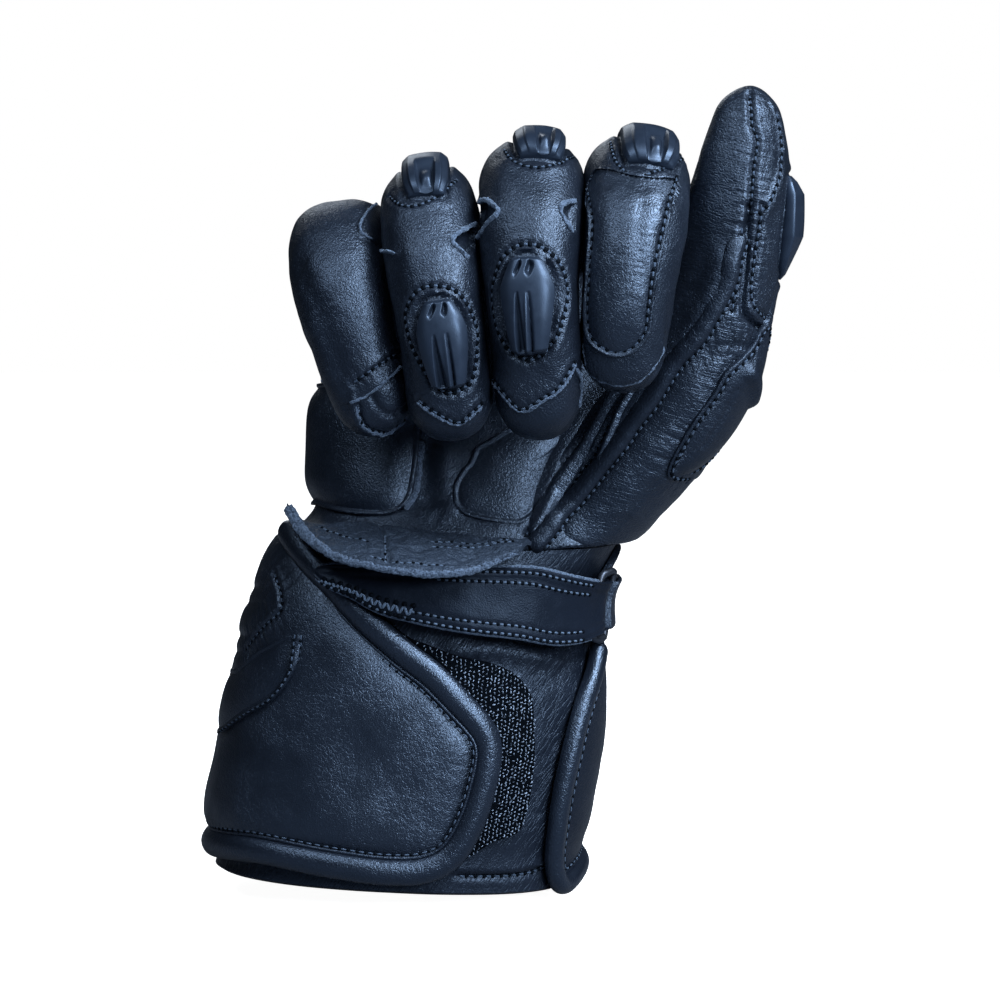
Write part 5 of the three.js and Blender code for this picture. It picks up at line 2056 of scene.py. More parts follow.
FLAP_EDGE = (
    (-70, 91), (-57, 87.5), (-39, 81.3), (-26.5, 75.9), (-12.8, 67.6), (-4, 61.5), (3.2, 55), (10, 48.4),
    (17.6, 41.3), (20, 36.5), (20, 30), (19, 20.8), (17, 14.3), (13.4, 8.5), (7, 5.5), (-1, 5.2), (-14.6, 6.8),
    (-39, 9.3), (-60, 9), (-83, 7.8), (-111, 6.4),
)
BACK_EDGE = (
    (74.5, 61), (67, 53.7), (59, 47), (54, 39.8), (51.4, 31), (50.7, 22), (52.4, 11.5), (56.5, 2.6), (63, -1.6),
    (74, 0), (92, 1.8), (130, 3), (180, 3.6), (247, 5.6),
)
LOOP_EDGE = (
    (27, 12), (36, 14.4), (37.8, 20.7), (37.5, 30), (36, 41), (34.8, 48), (32, 52), (27, 55.5), (19.4, 58),
    (8.8, 60), (-1.3, 64),
)
LEAF_CORNERS = (
    (-38, 65.5), (-37, 62), (-37.6, 55.6), (-44, 48.7), (-57.5, 43.6), (-77, 37.5), (-100, 36), (-106, 44),
    (-92, 52), (-72, 54.5), (-56, 60.5),
)
LEAF_WELT = ((299, 634), (296, 655), (291, 673), (273, 697), (245, 714), (222, 731))
CUFF_TOP, MOUTH_TILT = 86.0, -0.05
OUTER_SEAM, OUTER_TOP = -112.0, 84.0
ROLL_HALF, BACK_ROLL_HALF, ROLL_DEPTH = 3.4, 2.7, 2.1


def pleats(angle: Array, z: Array) -> Array:
    """Returns how far the cuff's outer layer bulges over the fold of the wrist on the little-finger side.

    Args:
        angle: Angles round the cuff, in degrees.
        z: Heights, in millimetres.

    Returns:
        How far the layer stands out, in millimetres.
    """
    turned = (angle + 180) % 360 - 180
    rise = 1.3 * np.exp(-(((turned + 90) / 34) ** 2) - ((z - 66) / 5) ** 2)
    for level, tall, depth in ((74, 1.3, 0.5), (70, 1.1, 0.4), (61.5, 1.2, 0.55), (57, 1.0, 0.4)):
        slope = level + 0.06 * (turned + 90)
        rise = rise - depth * np.exp(-(((turned + 92) / 24) ** 2) - ((z - slope) / tall) ** 2)
    return rise


def outer_point(angle: Array, z: Array, out: Array) -> Array:
    """Gives points on the cuff's outer layer."""
    return CUFF.point(angle, z, out + pleats(angle, z))


def beside_roll(corners: Pixels, side: float, reach: float) -> list[tuple[float, float]]:
    """Moves an edge sideways.

    Args:
        corners: The edge's angles and heights.
        side: 1 for its left, -1 for its right.
        reach: The distance.

    Returns:
        The moved corners.
    """
    moved = []
    for i, (angle, z) in enumerate(corners):
        wide = np.linalg.norm(CUFF.point(angle + 1.0, z) - CUFF.point(angle - 1.0, z)) / 2
        last, following = corners[max(i - 1, 0)], corners[min(i + 1, len(corners) - 1)]
        along = unit(np.array([(following[0] - last[0]) * wide, following[1] - last[1]]))
        moved.append((angle - along[1] * side * reach / wide, z + along[0] * side * reach))
    return moved


@dataclass
class Cuff:
    """The gauntlet: inner tube, flap, back layer, their rolled edges, the leaf and the loop patch."""

    around: int = 340
    steps: int = 110

    def build(self, shop: Workshop, stitching: Stitching) -> None:
        """Makes all of the cuff's pieces."""
        self.inner_tube(shop, stitching)
        self.layers(shop, stitching)
        self.rolls(shop, stitching)
        self.loop_patch(shop)

    def inner_tube(self, shop: Workshop, stitching: Stitching) -> None:
        """Makes the inner layer, a plain tube with a hem.

        Args:
            shop: The workshop that makes the pieces.
            stitching: The sewing that the stitches go to.
        """
        angles = even_angles(self.around, 180.0)[None, :]
        heights = np.linspace(0, CUFF_TOP, self.steps)[:, None]

        def grid(out: float) -> Array:
            """Returns the tube's points, with the mouth's edge dropping to the thumb side."""
            points = CUFF.point(angles, heights, out)
            drop = MOUTH_TILT * (points[..., 0] - CUFF.rows.columns["x"][0])
            points[..., 2] += drop * np.clip(1 - heights / 9, 0, 1)
            return points

        skin = Skin(grid)
        skin.soften(0.5, 15.0, 5)
        sew_seams([skin], [
            Seam(((458, 873), (497, 873), (527, 870), (546, 864)), Fold.LAP, 0.7, 12.0, stitch=-0.9, pitch=2.4),
            crease(((540, 690), (565, 668), (583, 655)), 0.3, 1.5, 0.3),
            crease(((534, 770), (548, 752), (566, 735)), 0.22, 1.6, 0.35),
            crease(((532, 800), (546, 778), (562, 760)), 0.22, 1.6, 0.35),
            Seam(((455, 652), (490, 650), (530, 656), (560, 660)), Fold.RIDGE, 0.8, 2.2, stitch=None,
                 gather=0.5),
        ], stitching)
        outer = skin.surface
        rim = heights[:, 0]
        inner = CUFF.point(angles, rim[::8][:, None], -WALL)
        inner[0] = grid(-WALL)[0]
        edge = (outer[0] + inner[0]) / 2 - np.array([0, 0, 0.7])
        rings = np.concatenate([inner[::-1], edge[None], outer])
        hull = Hull(rings.reshape(-1, 3), [grid_faces(len(rings), self.around, True, True)]).outward()
        shop.supply("cuff_inner", hull, "cuff_leather", "main_leather", "cuff_inner")

    def layers(self, shop: Workshop, stitching: Stitching) -> None:
        """Makes the flap and the back layer.

        Args:
            shop: The workshop that makes the pieces.
            stitching: The sewing that the stitches go to.
        """
        rise = Profile((0, 0.3, 1.0, 2.2, 5, 10, 20, 34), (1.2, 1.9, 2.3, 2.7, 3.5, 3.7, 3.1, 2.6))
        plain = Profile((0, 0.3, 1.0, 2.5, 8), (1.2, 1.9, 2.3, 2.5, 2.6))
        seam = OUTER_SEAM + 0.4
        edge = beside_roll(FLAP_EDGE, -1, ROLL_HALF * 0.75)
        corners = [*edge, (seam, edge[-1][1]), (seam, 40), (seam, OUTER_TOP), (-90, 87.6)]
        flap = Patch(outer_point, corners, rise, GAP, 0.62, 84)
        back_edge = beside_roll(BACK_EDGE, 1, ROLL_HALF * 0.75)
        far = 360 + OUTER_SEAM - 0.4
        back_corners = [*back_edge, (far, back_edge[-1][1]), (far, 40), (far, OUTER_TOP), (170, OUTER_TOP),
                        (88, OUTER_TOP), (86, 66)]
        back = Patch(outer_point, back_corners, plain, GAP, 0.8, 64)
        for patch, seed in ((flap, 11), (back, 12)):
            patch.skin.soften(0.5, 16.0, seed)
            patch.skin.soften(0.2, 6.0, seed + 5)
        sew_seams([flap.skin], [
            Seam(((273, 573), (277, 584), (280, 598), (279, 611), (262, 627), (245, 649)), depth=0.2,
                 gather=0.45, stitch=0.0, pitch=2.0, thick=0.75),
            Seam(((206, 824), (256, 831), (299, 843), (332, 848), (375, 854), (419, 854), (440, 846),
                  (455, 828), (464, 812)), depth=0.25, width=1.0, stitch=-1.6, pitch=2.4),
            crease(((345, 700), (362, 735), (385, 770), (400, 805)), 0.12, 1.4, 0.14),
            crease(((420, 720), (436, 745), (442, 775), (430, 815)), 0.12, 2.0, 0.14),
        ], stitching)
        self.leaf(shop, stitching)
        shop.supply("cuff_flap", flap.hull(), "flap_leather", "smooth_leather", "cuff_flap")
        shop.supply("cuff_back", back.hull(), "panel_leather", "smooth_leather", "cuff_back")

    def leaf(self, shop: Workshop, stitching: Stitching) -> None:
        """Makes the leaf on the flap, and the welt along its edge.

        Args:
            shop: The workshop that makes the pieces.
            stitching: The sewing that the stitches go to.
        """
        base = WALL + GAP + 0.1
        patch = Patch(lambda u, v, out: outer_point(u, v, out + base), LEAF_CORNERS, LEAF_EDGE, -0.9)
        shop.supply("cuff_leaf", patch.hull(), "smooth_leather", "smooth_leather", "cuff_leaf")
        patch.skin.settle()
        strip = lifted(traced(LEAF_WELT, [patch.skin]), [patch.skin], 0.15).softened(8)
        shop.supply("leaf_welt", swept(strip, oval(1.05, 0.5, 10), 1.5), "smooth_leather", "smooth_leather")
        for side in (-0.95, 0.95):
            stitching.sew(strip.beside(side, 0.35), 1.9, 0.8)

    def rolls(self, shop: Workshop, stitching: Stitching) -> None:
        """Makes the padded rolls round the outer layers, each with piping and stitches along its seam.

        Args:
            shop: The workshop that makes the pieces.
            stitching: The sewing that the stitches go to.
        """
        edges = (("flap_roll", FLAP_EDGE, -1, ROLL_HALF), ("back_roll", BACK_EDGE, 1, BACK_ROLL_HALF))
        for name, corners, side, half in edges:
            lift = GAP + ROLL_DEPTH + 0.15
            path = laid(lambda u, v, out: CUFF.point(u, v, out + lift), corners, False, 0.7).softened(20)
            section = oval(half, ROLL_DEPTH, 28, bend=(0.85, 0.9))
            section[:, 1] += 0.5 * np.exp(-((section[:, 0] / 2.2) ** 2)) * (section[:, 1] > 0)
            swell = 1 + 0.06 * SOFTNESS.at(path.points, 12.0) + 0.015 * SOFTNESS.at(path.points, 3.0)
            roll = swept(path, section, 3.0, swell)
            bumps = SOFTNESS.at(roll.points, 2.2)[:, None] * 0.05
            roll.points += unit(roll.points - roll.points.mean(0)) * bumps
            shop.supply(name, roll, "roll_leather", "smooth_leather", name, pad=0.8)
            seam = path.beside(side * (half + 0.35), 0.2 if name == "flap_roll" else 0.0)
            piping = swept(seam, oval(0.55, 0.6, 10), 1.0)
            shop.supply(f"{name}_piping", piping, "smooth_leather", "smooth_leather")
            stitching.sew(path.beside(side * (half + 1.25), 0.75), 2.3, 0.7)

    def loop_patch(self, shop: Workshop) -> None:
        """Makes the loop patch's ground and its pile."""
        corners = [*LOOP_EDGE, *beside_roll(FLAP_EDGE[4:14], 1, ROLL_HALF - 0.4)]
        patch = Patch(CUFF.point, corners, Profile((0, 0.3, 1.0), (0.9, 1.35, 1.45)), GAP, 0.6, 36)
        shop.supply("loop_patch", patch.hull(), "loop_ground", "loop_fabric", "loop_patch")
        LoopPile(patch).build(shop)


@dataclass
class LoopPile:
    """The loops of the loop patch, each a small bent thread laid by Geometry Nodes."""

    patch: Patch
    pitch: float = 1.08
    radius: float = 0.24
    strand: float = 0.14
    missing: float = 0.04
    jitter: float = 0.2
    seed: int = 4

    def places(self) -> tuple[Array, Array]:
        """Returns the loops' places and outward directions, in staggered rows."""
        rim = self.patch.rim.points
        u, v = self.patch.coordinates[0].T
        wide = np.linalg.norm(CUFF.point(21.0, 35.0) - CUFF.point(19.0, 35.0)) / 2
        columns = np.arange(u.min(), u.max(), self.pitch / wide)
        rows = np.arange(v.min(), v.max(), self.pitch * 0.9)
        grid_u, grid_v = np.meshgrid(columns, rows)
        grid_v = grid_v + (np.arange(len(columns)) % 2)[None] * self.pitch * 0.45
        spots = np.stack([grid_u, grid_v], -1).reshape(-1, 2)
        spots = spots[within(self.patch.coordinates[1], spots)]
        random = np.random.default_rng(self.seed)
        spots = spots[random.random(len(spots)) > self.missing]
        spots = spots + random.uniform(-self.jitter, self.jitter, spots.shape) * [1 / wide, 1.0]
        points = CUFF.point(spots[:, 0], spots[:, 1], 1.45)
        normals = unit(CUFF.point(spots[:, 0], spots[:, 1], 2.45) - points)
        clear = nearest_on(points, rim[::2])[1] > 1.0
        return points[clear], normals[clear]

    def build(self, shop: Workshop) -> None:
        """Lays the loops and hands them over.

        Args:
            shop: The workshop that makes the pieces.
        """
        points, normals = self.places()
        web = Scatter("loop_pile", "Loop Radius", "Strand Radius")
        arc = web.add("GeometryNodeCurveArc", {"mode": "RADIUS"}, {
            "Resolution": 6, "Radius": web.given["Loop Radius"], "Start Angle": 0.0,
            "Sweep Angle": math.pi})["Curve"]
        ring = web.add("GeometryNodeCurvePrimitiveCircle", {"mode": "RADIUS"}, {
            "Resolution": 4, "Radius": web.given["Strand Radius"]})["Curve"]
        tube = web.add("GeometryNodeCurveToMesh", {}, {"Curve": arc, "Profile Curve": ring, "Fill Caps": True})
        upright = web.add("GeometryNodeTransform", {},
                          {"Geometry": tube["Mesh"], "Rotation": (math.pi / 2, 0, 0)})
        turned = web.add("FunctionNodeAlignRotationToVector", {"axis": "Z"}, {"Vector": web.read("facing")})
        spin = web.add("FunctionNodeRandomValue", {"data_type": "FLOAT_VECTOR"}, {
            "Min": (-0.5, -0.5, 0.6), "Max": (0.5, 0.5, 2.5), "Seed": self.seed})["Value"]
        mixed = web.add("FunctionNodeRotateRotation", {"rotation_space": "LOCAL"},
                        {"Rotation": turned["Rotation"], "Rotate By": spin})["Rotation"]
        sizes = web.add("FunctionNodeRandomValue", {"data_type": "FLOAT"},
                        {2: 0.75, 3: 1.2, "Seed": self.seed + 1})[1]
        web.spread(web.given["Geometry"], upright["Geometry"], mixed, sizes, shop.finishes["loop_pile"])
        piece = web.lay("loop_pile", points, {"facing": normals}, loop_radius=self.radius * MM,
                        strand_radius=self.strand * MM)
        shop.finish(piece, "loop_fabric")


STRAP_RUN = Rows(
    "angle out low high",
    (-34.5, 6.7, 80, 82.6), (-30, 6.7, 78, 83.2), (-20, 6.7, 75.4, 83.3), (-9.5, 6.7, 71.3, 83.2),
    (3.7, 6.7, 67.7, 82.9), (14, 6.5, 66, 82.8), (26, 6.3, 64.6, 82.2), (38, 6.2, 62.6, 80.2),
    (50, 6.4, 62.5, 78.4), (61, 6.6, 63.6, 77.4),
)
STRAP_RETURN = Rows(
    "angle out low high",
    (61, 1.7, 64.6, 77.4), (46, 1.7, 64.6, 77.6), (32, 1.7, 65, 78.6), (18, 1.7, 66, 80), (10, 1.7, 67, 80),
)


@dataclass
class WristStrap:
    """The strap that turns back round a wire ring, and the tab that holds the ring."""

    level: float = 71.0
    thickness: float = 2.1
    fold_angle: float = 64.0
    wire_out: float = 4.15
    bend: float = 2.45
    ring_width: float = 6.6
    ring_low: float = 62.2
    ring_high: float = 79.4
    wire_radius: float = 1.0
    wire_corner: float = 2.0
    tab_thickness: float = 1.4
    tab_bend: float = 2.1
    strap_edges: tuple[float, float] = (64.2, 77.4)
    tab_edges: tuple[float, float] = (64.6, 77.0)
    tab_legs: tuple[Pixels, Pixels] = (
        ((102, 5.7), (93, 5.7), (85, 6.0)),
        ((85, 3.95), (93, 3.75), (100, 3.75)),
    )
    shown: float = 0.63

    def places(self, table: Rows) -> Array:
        """Returns a band's places: x, y, lower edge, upper edge and angle."""
        angle, out, low, high = table.columns.values()
        return np.column_stack([CUFF.point(angle, self.level, out)[:, :2], low, high, angle])

    def wire_sides(self) -> tuple[Array, Array, Array, Array]:
        """Returns the wire's two sides, and the directions outwards and forwards, in the plan."""
        near = CUFF.point(self.fold_angle, self.level, self.wire_out)[:2]
        step = CUFF.point(self.fold_angle + 2, self.level, self.wire_out)
        forward = unit((step - CUFF.point(self.fold_angle - 2, self.level, self.wire_out))[:2])
        outward = np.array([forward[1], -forward[0]])
        return near, near + forward * self.ring_width, outward, forward

    def half_turn(self, centre: Array, outward: Array, forward: Array, radius: float,
                  edges: tuple[float, float]) -> Array:
        """Returns the places of half a turn round a wire."""
        turn = np.radians(np.linspace(15, 165, 7))[:, None]
        flat = centre + radius * (outward * np.cos(turn) + forward * np.sin(turn))
        return np.column_stack([flat, np.tile([*edges, self.fold_angle], (7, 1))])

    def band(self, places: Array, thickness: float, seed: int) -> tuple[Hull, Array]:
        """Makes a folded band with rounded edges.

        Args:
            places: Its places.
            thickness: Its thickness.
            seed: For its unevenness.

        Returns:
            The mesh, and the grid of its outer side.
        """
        places = even_line(places * np.array([1, 1, 1, 1, 0.01]), 0.8) / np.array([1, 1, 1, 1, 0.01])
        along = unit(np.gradient(places[:, :2], axis=0))
        normal = np.stack([along[:, 1], -along[:, 0]], -1)
        share = (1 - np.cos(np.linspace(0, np.pi, 30))) / 2
        z = places[:, 2:3] + (places[:, 3:4] - places[:, 2:3]) * share
        lean = CUFF.point(places[:, 4:5], z)[..., :2] - CUFF.point(places[:, 4:5], self.level)[..., :2]
        edge = np.minimum(z - places[:, 2:3], places[:, 3:4] - z)
        half = thickness / 2 * np.sqrt(1 - (1 - np.clip(edge / 0.6, 0.08, 1)) ** 2)
        stitched = 0.24 * np.exp(-((edge - 0.9) / 0.4) ** 2) + 0.24 * np.exp(-((edge - 2.9) / 0.5) ** 2)
        middle = np.concatenate([places[:, None, :2] + lean, z[..., None]], axis=-1)
        outward = np.concatenate([normal, np.zeros((len(normal), 1))], axis=1)[:, None]
        soft = 0.45 * SOFTNESS.at(middle + seed, 9.0) + 0.15 * SOFTNESS.at(middle + seed, 3.0)
        top = middle + outward * (half - stitched + soft)[..., None]
        under = middle - outward * (half - soft)[..., None]
        return closed_rings(np.concatenate([top, under[:, ::-1]], axis=1)), top

    def build(self, shop: Workshop, stitching: Stitching) -> None:
        """Makes the strap, the ring and the tab.

        Args:
            shop: The workshop that makes the pieces.
            stitching: The sewing that the stitches go to.
        """
        near, far, outward, forward = self.wire_sides()
        turn = self.half_turn(near, outward, forward, self.bend, self.strap_edges)
        hull, top = self.band(np.concatenate([self.places(STRAP_RUN), turn, self.places(STRAP_RETURN)]),
                              self.thickness, 5)
        shop.supply("wrist_strap", hull, "strap_leather", "smooth_leather", "wrist_strap")
        visible, normals = self.shown_side(top)
        self.sew(visible, normals, stitching)
        self.raw_edges(shop, visible, normals[:, 15])
        tab_turn = self.half_turn(far, outward, -forward, self.tab_bend, self.tab_edges)
        legs = [np.array([[*CUFF.point(angle, self.level, out)[:2], *self.tab_edges, angle]
                          for angle, out in leg]) for leg in self.tab_legs]
        tab, _ = self.band(np.concatenate([legs[0], tab_turn, legs[1]]), self.tab_thickness, 6)
        shop.supply("ring_tab", tab, "smooth_leather", "smooth_leather", "ring_tab")
        self.ring(shop, near, far)

    def shown_side(self, top: Array) -> tuple[Array, Array]:
        """Returns the part of the strap's outer side that shows, and its outward directions.

        Args:
            top: The grid of the whole outer side.

        Returns:
            The part of the grid that shows, and its directions.
        """
        normals = unit(np.cross(np.gradient(top, axis=0), np.gradient(top, axis=1)))
        last = int(len(top) * self.shown)
        top, normals = top[:last], normals[:last]
        inwards = np.sum(normals[:, 15] * (top[:, 15] - top[:, 15].mean(0))) < 0
        return top, -normals if inwards else normals

    def sew(self, visible: Array, normals: Array, stitching: Stitching) -> None:
        """Sews the rows of stitches along the strap's edges, and the zigzag at its pointed end.

        Args:
            visible: The grid of the side that shows.
            normals: Its outward directions.
            stitching: The sewing that the stitches go to.
        """
        for row, start, end in ((4, 0.02, 0.96), (8, 0.36, 0.96), (24, 0.41, 0.97), (20, 0.41, 0.97)):
            span = slice(int(start * len(visible)), int(end * len(visible)))
            stitching.sew(Path(visible[span, row] + normals[span, row] * 0.1, normals[span, row]), 1.9)
        places = np.arange(4, int(0.38 * len(visible)), 1.5).astype(int)
        rows = np.where(np.arange(len(places)) % 2, 10, 5)
        stitching.link(visible[places, rows] + normals[places, rows] * 0.3, normals[places, rows], 1.3)

    def raw_edges(self, shop: Workshop, visible: Array, normals: Array) -> None:
        """Lays the strap's cut edges as fuzzy beads, a thick one above and a thin one below.

        Args:
            shop: The workshop that makes the pieces.
            visible: The grid of the side that shows.
            normals: Its outward directions.
        """
        beads = []
        for row, half in ((28, 0.62), (1, 0.42)):
            line = Path(visible[:, row] - normals * 0.75, normals).softened(3)
            beads.append(frayed(swept(line, oval(half, 0.95, 12), 0.8), 0.25, 0.7))
        shop.supply("strap_raw_edges", Hull.joined(beads), "cut_leather", "smooth_leather")

    def ring(self, shop: Workshop, near: Array, far: Array) -> None:
        """Makes the wire ring.

        Args:
            shop: The workshop that makes the pieces.
            near: Where the wire's near side stands, in millimetres.
            far: Where its far side stands.
        """
        low, high, corner = self.ring_low, self.ring_high, self.wire_corner
        path = [(0, low + corner), (0, high - corner), (0.3, high), (0.7, high),
                (1, high - corner), (1, low + corner), (0.7, low), (0.3, low)]
        points = []
        for share, z in path:
            lean = (CUFF.point(self.fold_angle, z) - CUFF.point(self.fold_angle, self.level))[:2]
            points.append([*(near + (far - near) * share + lean), z])
        line = even_line(np.array(points), 0.6, True)
        facing = unit(np.cross(np.append(far - near, 0), [0, 0, 1.0]))
        section = oval(self.wire_radius, self.wire_radius, 12)
        wire = swept(Path(line, np.tile(facing, (len(line), 1)), True), section)
        shop.supply("strap_ring", wire, "wire", "ring_metal", "strap_ring")


@dataclass
class HeelTongue:
    """The raw-edged leather tongue that stands out over the strap."""

    rows: Rows = field(default_factory=lambda: Rows(
        "u x y z angle root",
        (0, -28.5, -29, 95.5, -66, 90.8), (0.25, -17, -40, 87, -46, 92.4), (0.5, -1, -46, 83.2, -24, 92.2),
        (0.75, 16, -45, 82.6, 0, 90.2), (1, 30.5, -37.5, 86.8, 25, 88),
    ))

    def build(self, shop: Workshop, stitching: Stitching) -> None:
        """Makes the tongue and its raw edge.

        Args:
            shop: The workshop that makes the pieces.
            stitching: The sewing that the stitches go to.
        """
        u = np.linspace(0, 1, 150)[:, None]
        v = (np.linspace(0, 1, 64) ** 0.8)[None, :]
        row = self.rows.at("u", u[:, 0])
        root = HAND.point(row["angle"], row["root"], GAP - 1.0)[:, None]
        edge = np.stack([row["x"], row["y"], row["z"]], -1)[:, None]
        flat = root * (1 - v[..., None]) + edge * v[..., None]
        bow = 1.6 * np.sin(v * np.pi) * smooth(u, 0.02, 0.3)
        curl = 2.4 * np.exp(-((u / 0.05) ** 2)) * v**3
        ripple = 0.9 * SOFTNESS.at(flat + 50, 8.0) - 1.3 * np.abs(SOFTNESS.at(flat * [1, 1, 2.5] + 70, 3.4))
        ripple -= 0.55 * np.abs(SOFTNESS.at(flat + 20, 1.6))
        seam = -0.7 * np.exp(-(((u - 0.44 - 0.05 * v) / 0.012) ** 2)) * (v < 0.93)
        rise = bow + curl + ripple + seam
        up = np.array([0, -0.35, 0.94])
        half = lerp(0.5, 1.0, v) + 0 * u
        middle = flat + up * rise[..., None]
        top, under = middle + up * half[..., None], middle - up * half[..., None]
        rounded = middle[:, -1:] + np.array([0, -0.5, 0])
        hull = closed_rings(np.concatenate([top, rounded, under[:, ::-3]], axis=1))
        # Its lighter finish is partly painted light on the upturned top
        shop.supply("heel_tongue", hull, "tongue_leather_and_painted_light", "main_leather", "heel_tongue")
        outside = unit(np.array([0, -1.0, -0.15]))
        line = Path(middle[:, -1] + outside * 0.15, np.tile(outside, (len(top), 1))).softened(6)
        unevenness = 1 + 0.2 * SOFTNESS.at(line.points, 2.0) + 0.6 * (1 - smooth(u[:, 0], 0.05, 0.4))
        unevenness *= 1 - 0.45 * smooth(u[:, 0], 0.8, 1.0)
        edge_strip = swept(line, oval(0.95, 0.5, 18), 0.8, unevenness)
        edge_strip = frayed(edge_strip, 0.5, 0.9)
        shop.supply("tongue_raw_edge", edge_strip, "cut_leather", "main_leather")
        for rows, columns in ((slice(60, 104), 56), (slice(70, 71), slice(16, 60)), (slice(20, 60), 34),
                              (slice(96, 140), 22), (slice(96, 142), 30)):
            line = top[rows, columns].reshape(-1, 3)
            stitching.sew(Path(line + up * 0.05, np.tile(up, (len(line), 1))), 2.0, 0.8)


@dataclass
class ThumbWelt:
    """The raised seam from the palm up the inside of the thumb."""

    pixels: Pixels = (
        (744, 233), (733, 258), (731, 278), (713, 314), (698, 340), (675, 365), (654, 400), (633, 426),
        (618, 449), (602, 466), (587, 486), (572, 504), (557, 521), (541, 541), (527, 556))

    def build(self, shop: Workshop, skins: Sequence[Skin], stitching: Stitching) -> None:
        """Makes the welt on the skins of the thumb and the hand.

        Args:
            shop: The workshop that makes the pieces.
            skins: The skins of the thumb and the hand.
            stitching: The sewing that the stitches go to.
        """
        line = lifted(traced(self.pixels, skins).softened(16), skins, 0.4).softened(20)
        sunk = 1.2 * (1 - smooth(line.run, 6.0, 32.0))
        line = Path(line.points - line.normals * sunk[:, None], line.normals)
        section = oval(1.9, 1.7, 20, bend=(0.95, 1.15))
        section[:, 0] *= np.where(section[:, 0] < 0, 1.6, 1.0)
        swell = 1 + 0.12 * SOFTNESS.at(line.points, 7.0) + 0.1 * SOFTNESS.at(line.points, 1.9)
        welt = swept(line, section, 4.0, swell)
        shop.supply("thumb_welt", welt, "soft_leather", "main_leather", "thumb_welt")
        stitching.sew(line.beside(2.1, -0.3), 2.1)


@dataclass(frozen=True)
class Softbox:
    """A rectangular light: where it stands from the glove's middle, its size and its power."""

    name: str
    direction: tuple[float, float, float]
    distance: float
    size: tuple[float, float]
    watts: float
    colour: Colour = (0.86, 0.93, 1.0)


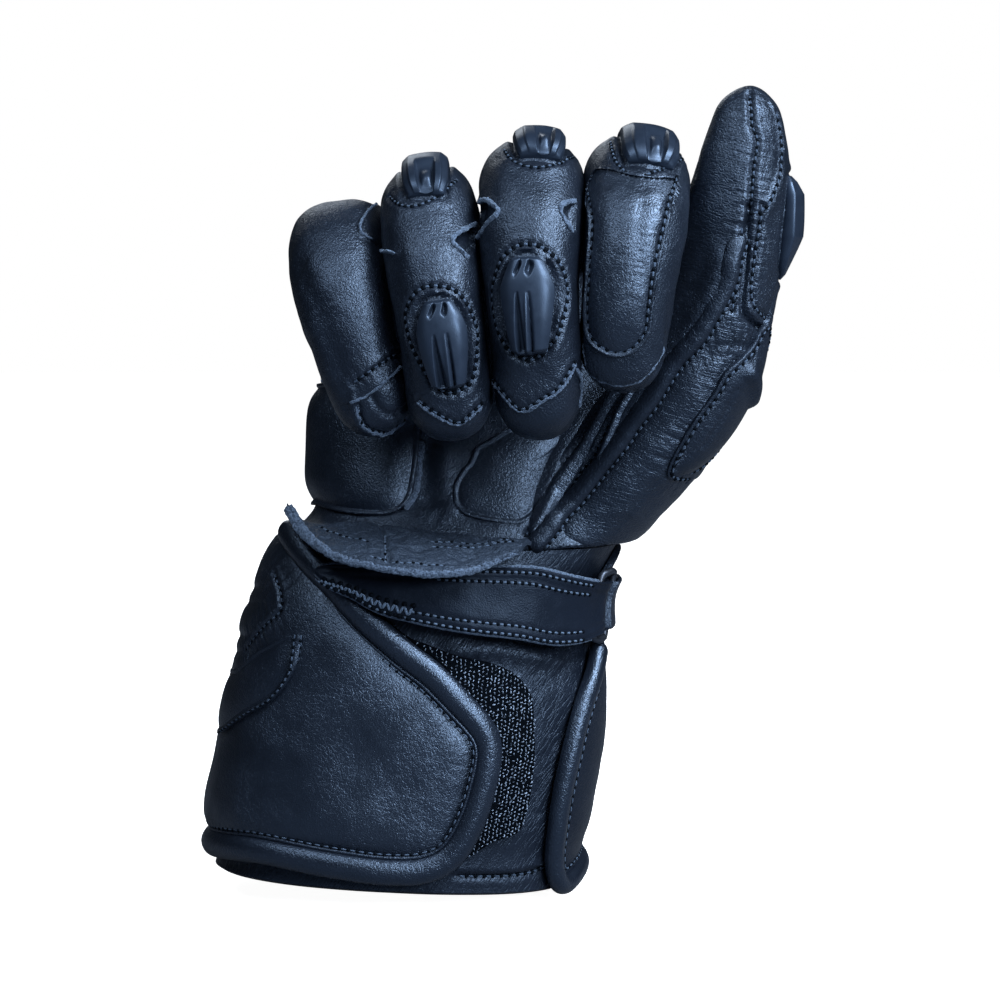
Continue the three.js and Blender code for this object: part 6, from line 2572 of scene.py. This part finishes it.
@dataclass
class Studio:
    """The camera, the lights, the pale floor and the white backdrop."""

    lights: tuple[Softbox, ...] = (
        Softbox("key", (0.55, -0.42, 0.75), 1.1, (0.5, 0.45), 25),
        Softbox("front", (0.2, -0.7, 0.68), 1.1, (0.5, 0.5), 3.0),
        Softbox("left", (-0.4, -0.5, 0.77), 1.1, (0.45, 0.45), 6.0),
        Softbox("low", (0.55, -0.83, 0.27), 1.1, (0.4, 0.3), 12),
        Softbox("behind", (-0.2, 0.85, 0.5), 1.5, (0.5, 0.5), 2.2),
    )
    middle: tuple[float, float, float] = (0.0257, -0.01, 0.1)

    def build(self) -> None:
        """Sets up the studio."""
        self.camera()
        for light in self.lights:
            self.light(light)
        self.world()
        self.floor()
        bpy.context.scene.view_settings.view_transform = "Standard"
        bpy.context.scene.view_settings.look = "None"

    def camera(self) -> None:
        """Makes the camera at the photograph's viewpoint."""
        data = bpy.data.cameras.new("camera")
        data.sensor_width = 36.0
        data.lens = data.sensor_width * VIEW.distance / VIEW.width
        data.clip_start, data.clip_end = 0.05, 50.0
        camera = placed("camera", data)
        camera.location = Vector(VIEW.eye * MM)
        camera.rotation_mode = "QUATERNION"
        camera.rotation_quaternion = Vector(VIEW.axes[2]).to_track_quat("-Z", "Y")
        bpy.context.scene.camera = camera

    def light(self, box: Softbox) -> None:
        """Makes one softbox that faces the glove.

        Args:
            box: The softbox's place, size and strength.
        """
        data = bpy.data.lights.new(box.name, "AREA")
        data.shape = "RECTANGLE"
        data.size, data.size_y = box.size
        data.energy = box.watts
        data.color = box.colour
        lamp = placed(box.name, data)
        direction = Vector(box.direction).normalized()
        lamp.location = Vector(self.middle) + direction * box.distance
        lamp.rotation_mode = "QUATERNION"
        lamp.rotation_quaternion = direction.to_track_quat("Z", "Y")

    def world(self) -> None:
        """Makes the backdrop white, and dimmer as a light."""
        world = bpy.data.worlds.new("backdrop")
        web = Finish(world)
        seen = web.add("ShaderNodeLightPath")["Is Camera Ray"]
        cool = rgba((0.75, 0.86, 1.0))
        dim = web.add("ShaderNodeBackground", {}, {"Color": cool, "Strength": 0.026})["Background"]
        white = web.add("ShaderNodeBackground", {}, {"Color": rgba((1, 1, 1)), "Strength": 1.0})["Background"]
        mixed = web.add("ShaderNodeMixShader", {}, {0: seen, 1: dim, 2: white})["Shader"]
        web.output(mixed, "World")
        bpy.context.scene.world = world

    def floor(self) -> None:
        """Makes the pale floor under the glove."""
        low, far = CAD_BOX[0].z - 0.002, 3.0
        mesh = bpy.data.meshes.new("floor")
        corners = [(-far, -far, low), (far, -far, low), (far, far, low), (-far, far, low)]
        mesh.from_pydata(corners, [], [(0, 1, 2, 3)])
        floor = placed("floor", mesh)
        made = bpy.data.materials.new("pale_floor")
        web = Finish(made)
        seen = web.add("ShaderNodeLightPath")["Is Camera Ray"]
        pale = web.add("ShaderNodeBsdfDiffuse", {}, {"Color": rgba((0.9, 0.9, 0.9))})["BSDF"]
        glow = web.add("ShaderNodeEmission", {}, {"Color": rgba((1, 1, 1)), "Strength": 0.97})["Emission"]
        lit = web.add("ShaderNodeAddShader", {}, {0: pale, 1: glow})["Shader"]
        dim = web.add("ShaderNodeBsdfDiffuse", {}, {"Color": rgba((0.12, 0.13, 0.15))})["BSDF"]
        shader = web.add("ShaderNodeMixShader", {}, {0: seen, 1: dim, 2: lit})["Shader"]
        web.output(shader)
        mesh.materials.append(made)


def build_glove() -> None:
    """Builds the studio and every piece of the glove, in order."""
    Studio().build()
    shop = Workshop()
    stitching = Stitching()
    light_stitching = Stitching("light_stitches", "light_thread")
    hand = HandForm()
    hand_skin = hand.lay_out()
    skins = {form.name: form.lay_out() for form in STALL_FORMS}
    hand_skin.meet(skins["thumb"], 2.6, 3.5)
    skins["thumb"].meet(hand_skin, 1.6, 3.0)
    for form in SLIDERS:
        form.bed(skins[form.stall])
    lips = []
    for form in STALL_FORMS:
        lips += sew_seams([skins[form.name]], form.seams, stitching)
    lips += sew_seams([hand_skin, skins["thumb"]], HAND_SEAMS, stitching)
    shop.supply("seam_lips", Hull.joined(lips), "cut_leather", "main_leather")
    hand.build(shop)
    cutter = closed_rings(hand_grid(40, 10, 96, HAND_FOOT - 2)(-0.5))
    for form in STALL_FORMS:
        form.build(shop, cutter)
    for form in SLIDERS:
        form.build(shop)
    for form in PAD_FORMS:
        patch = form.lay_out()
        shop.supply(form.name, patch.hull(), form.finish, "smooth_leather", form.name, pad=form.fill)
        if form.sewn:
            stitching.sew(patch.rim.beside(1.35, 0.75).part(0, form.sewn), 2.3)
    ThumbWelt().build(shop, [skins["thumb"], hand_skin], stitching)
    PalmRolls().build(shop, [skins["thumb"], hand_skin])
    HeelTongue().build(shop, light_stitching)
    Cuff().build(shop, stitching)
    WristStrap().build(shop, light_stitching)
    stitching.build(shop)
    light_stitching.build(shop)


if __name__ == "__main__":
    logging.basicConfig(level=logging.INFO, format="%(message)s")
    build_glove()
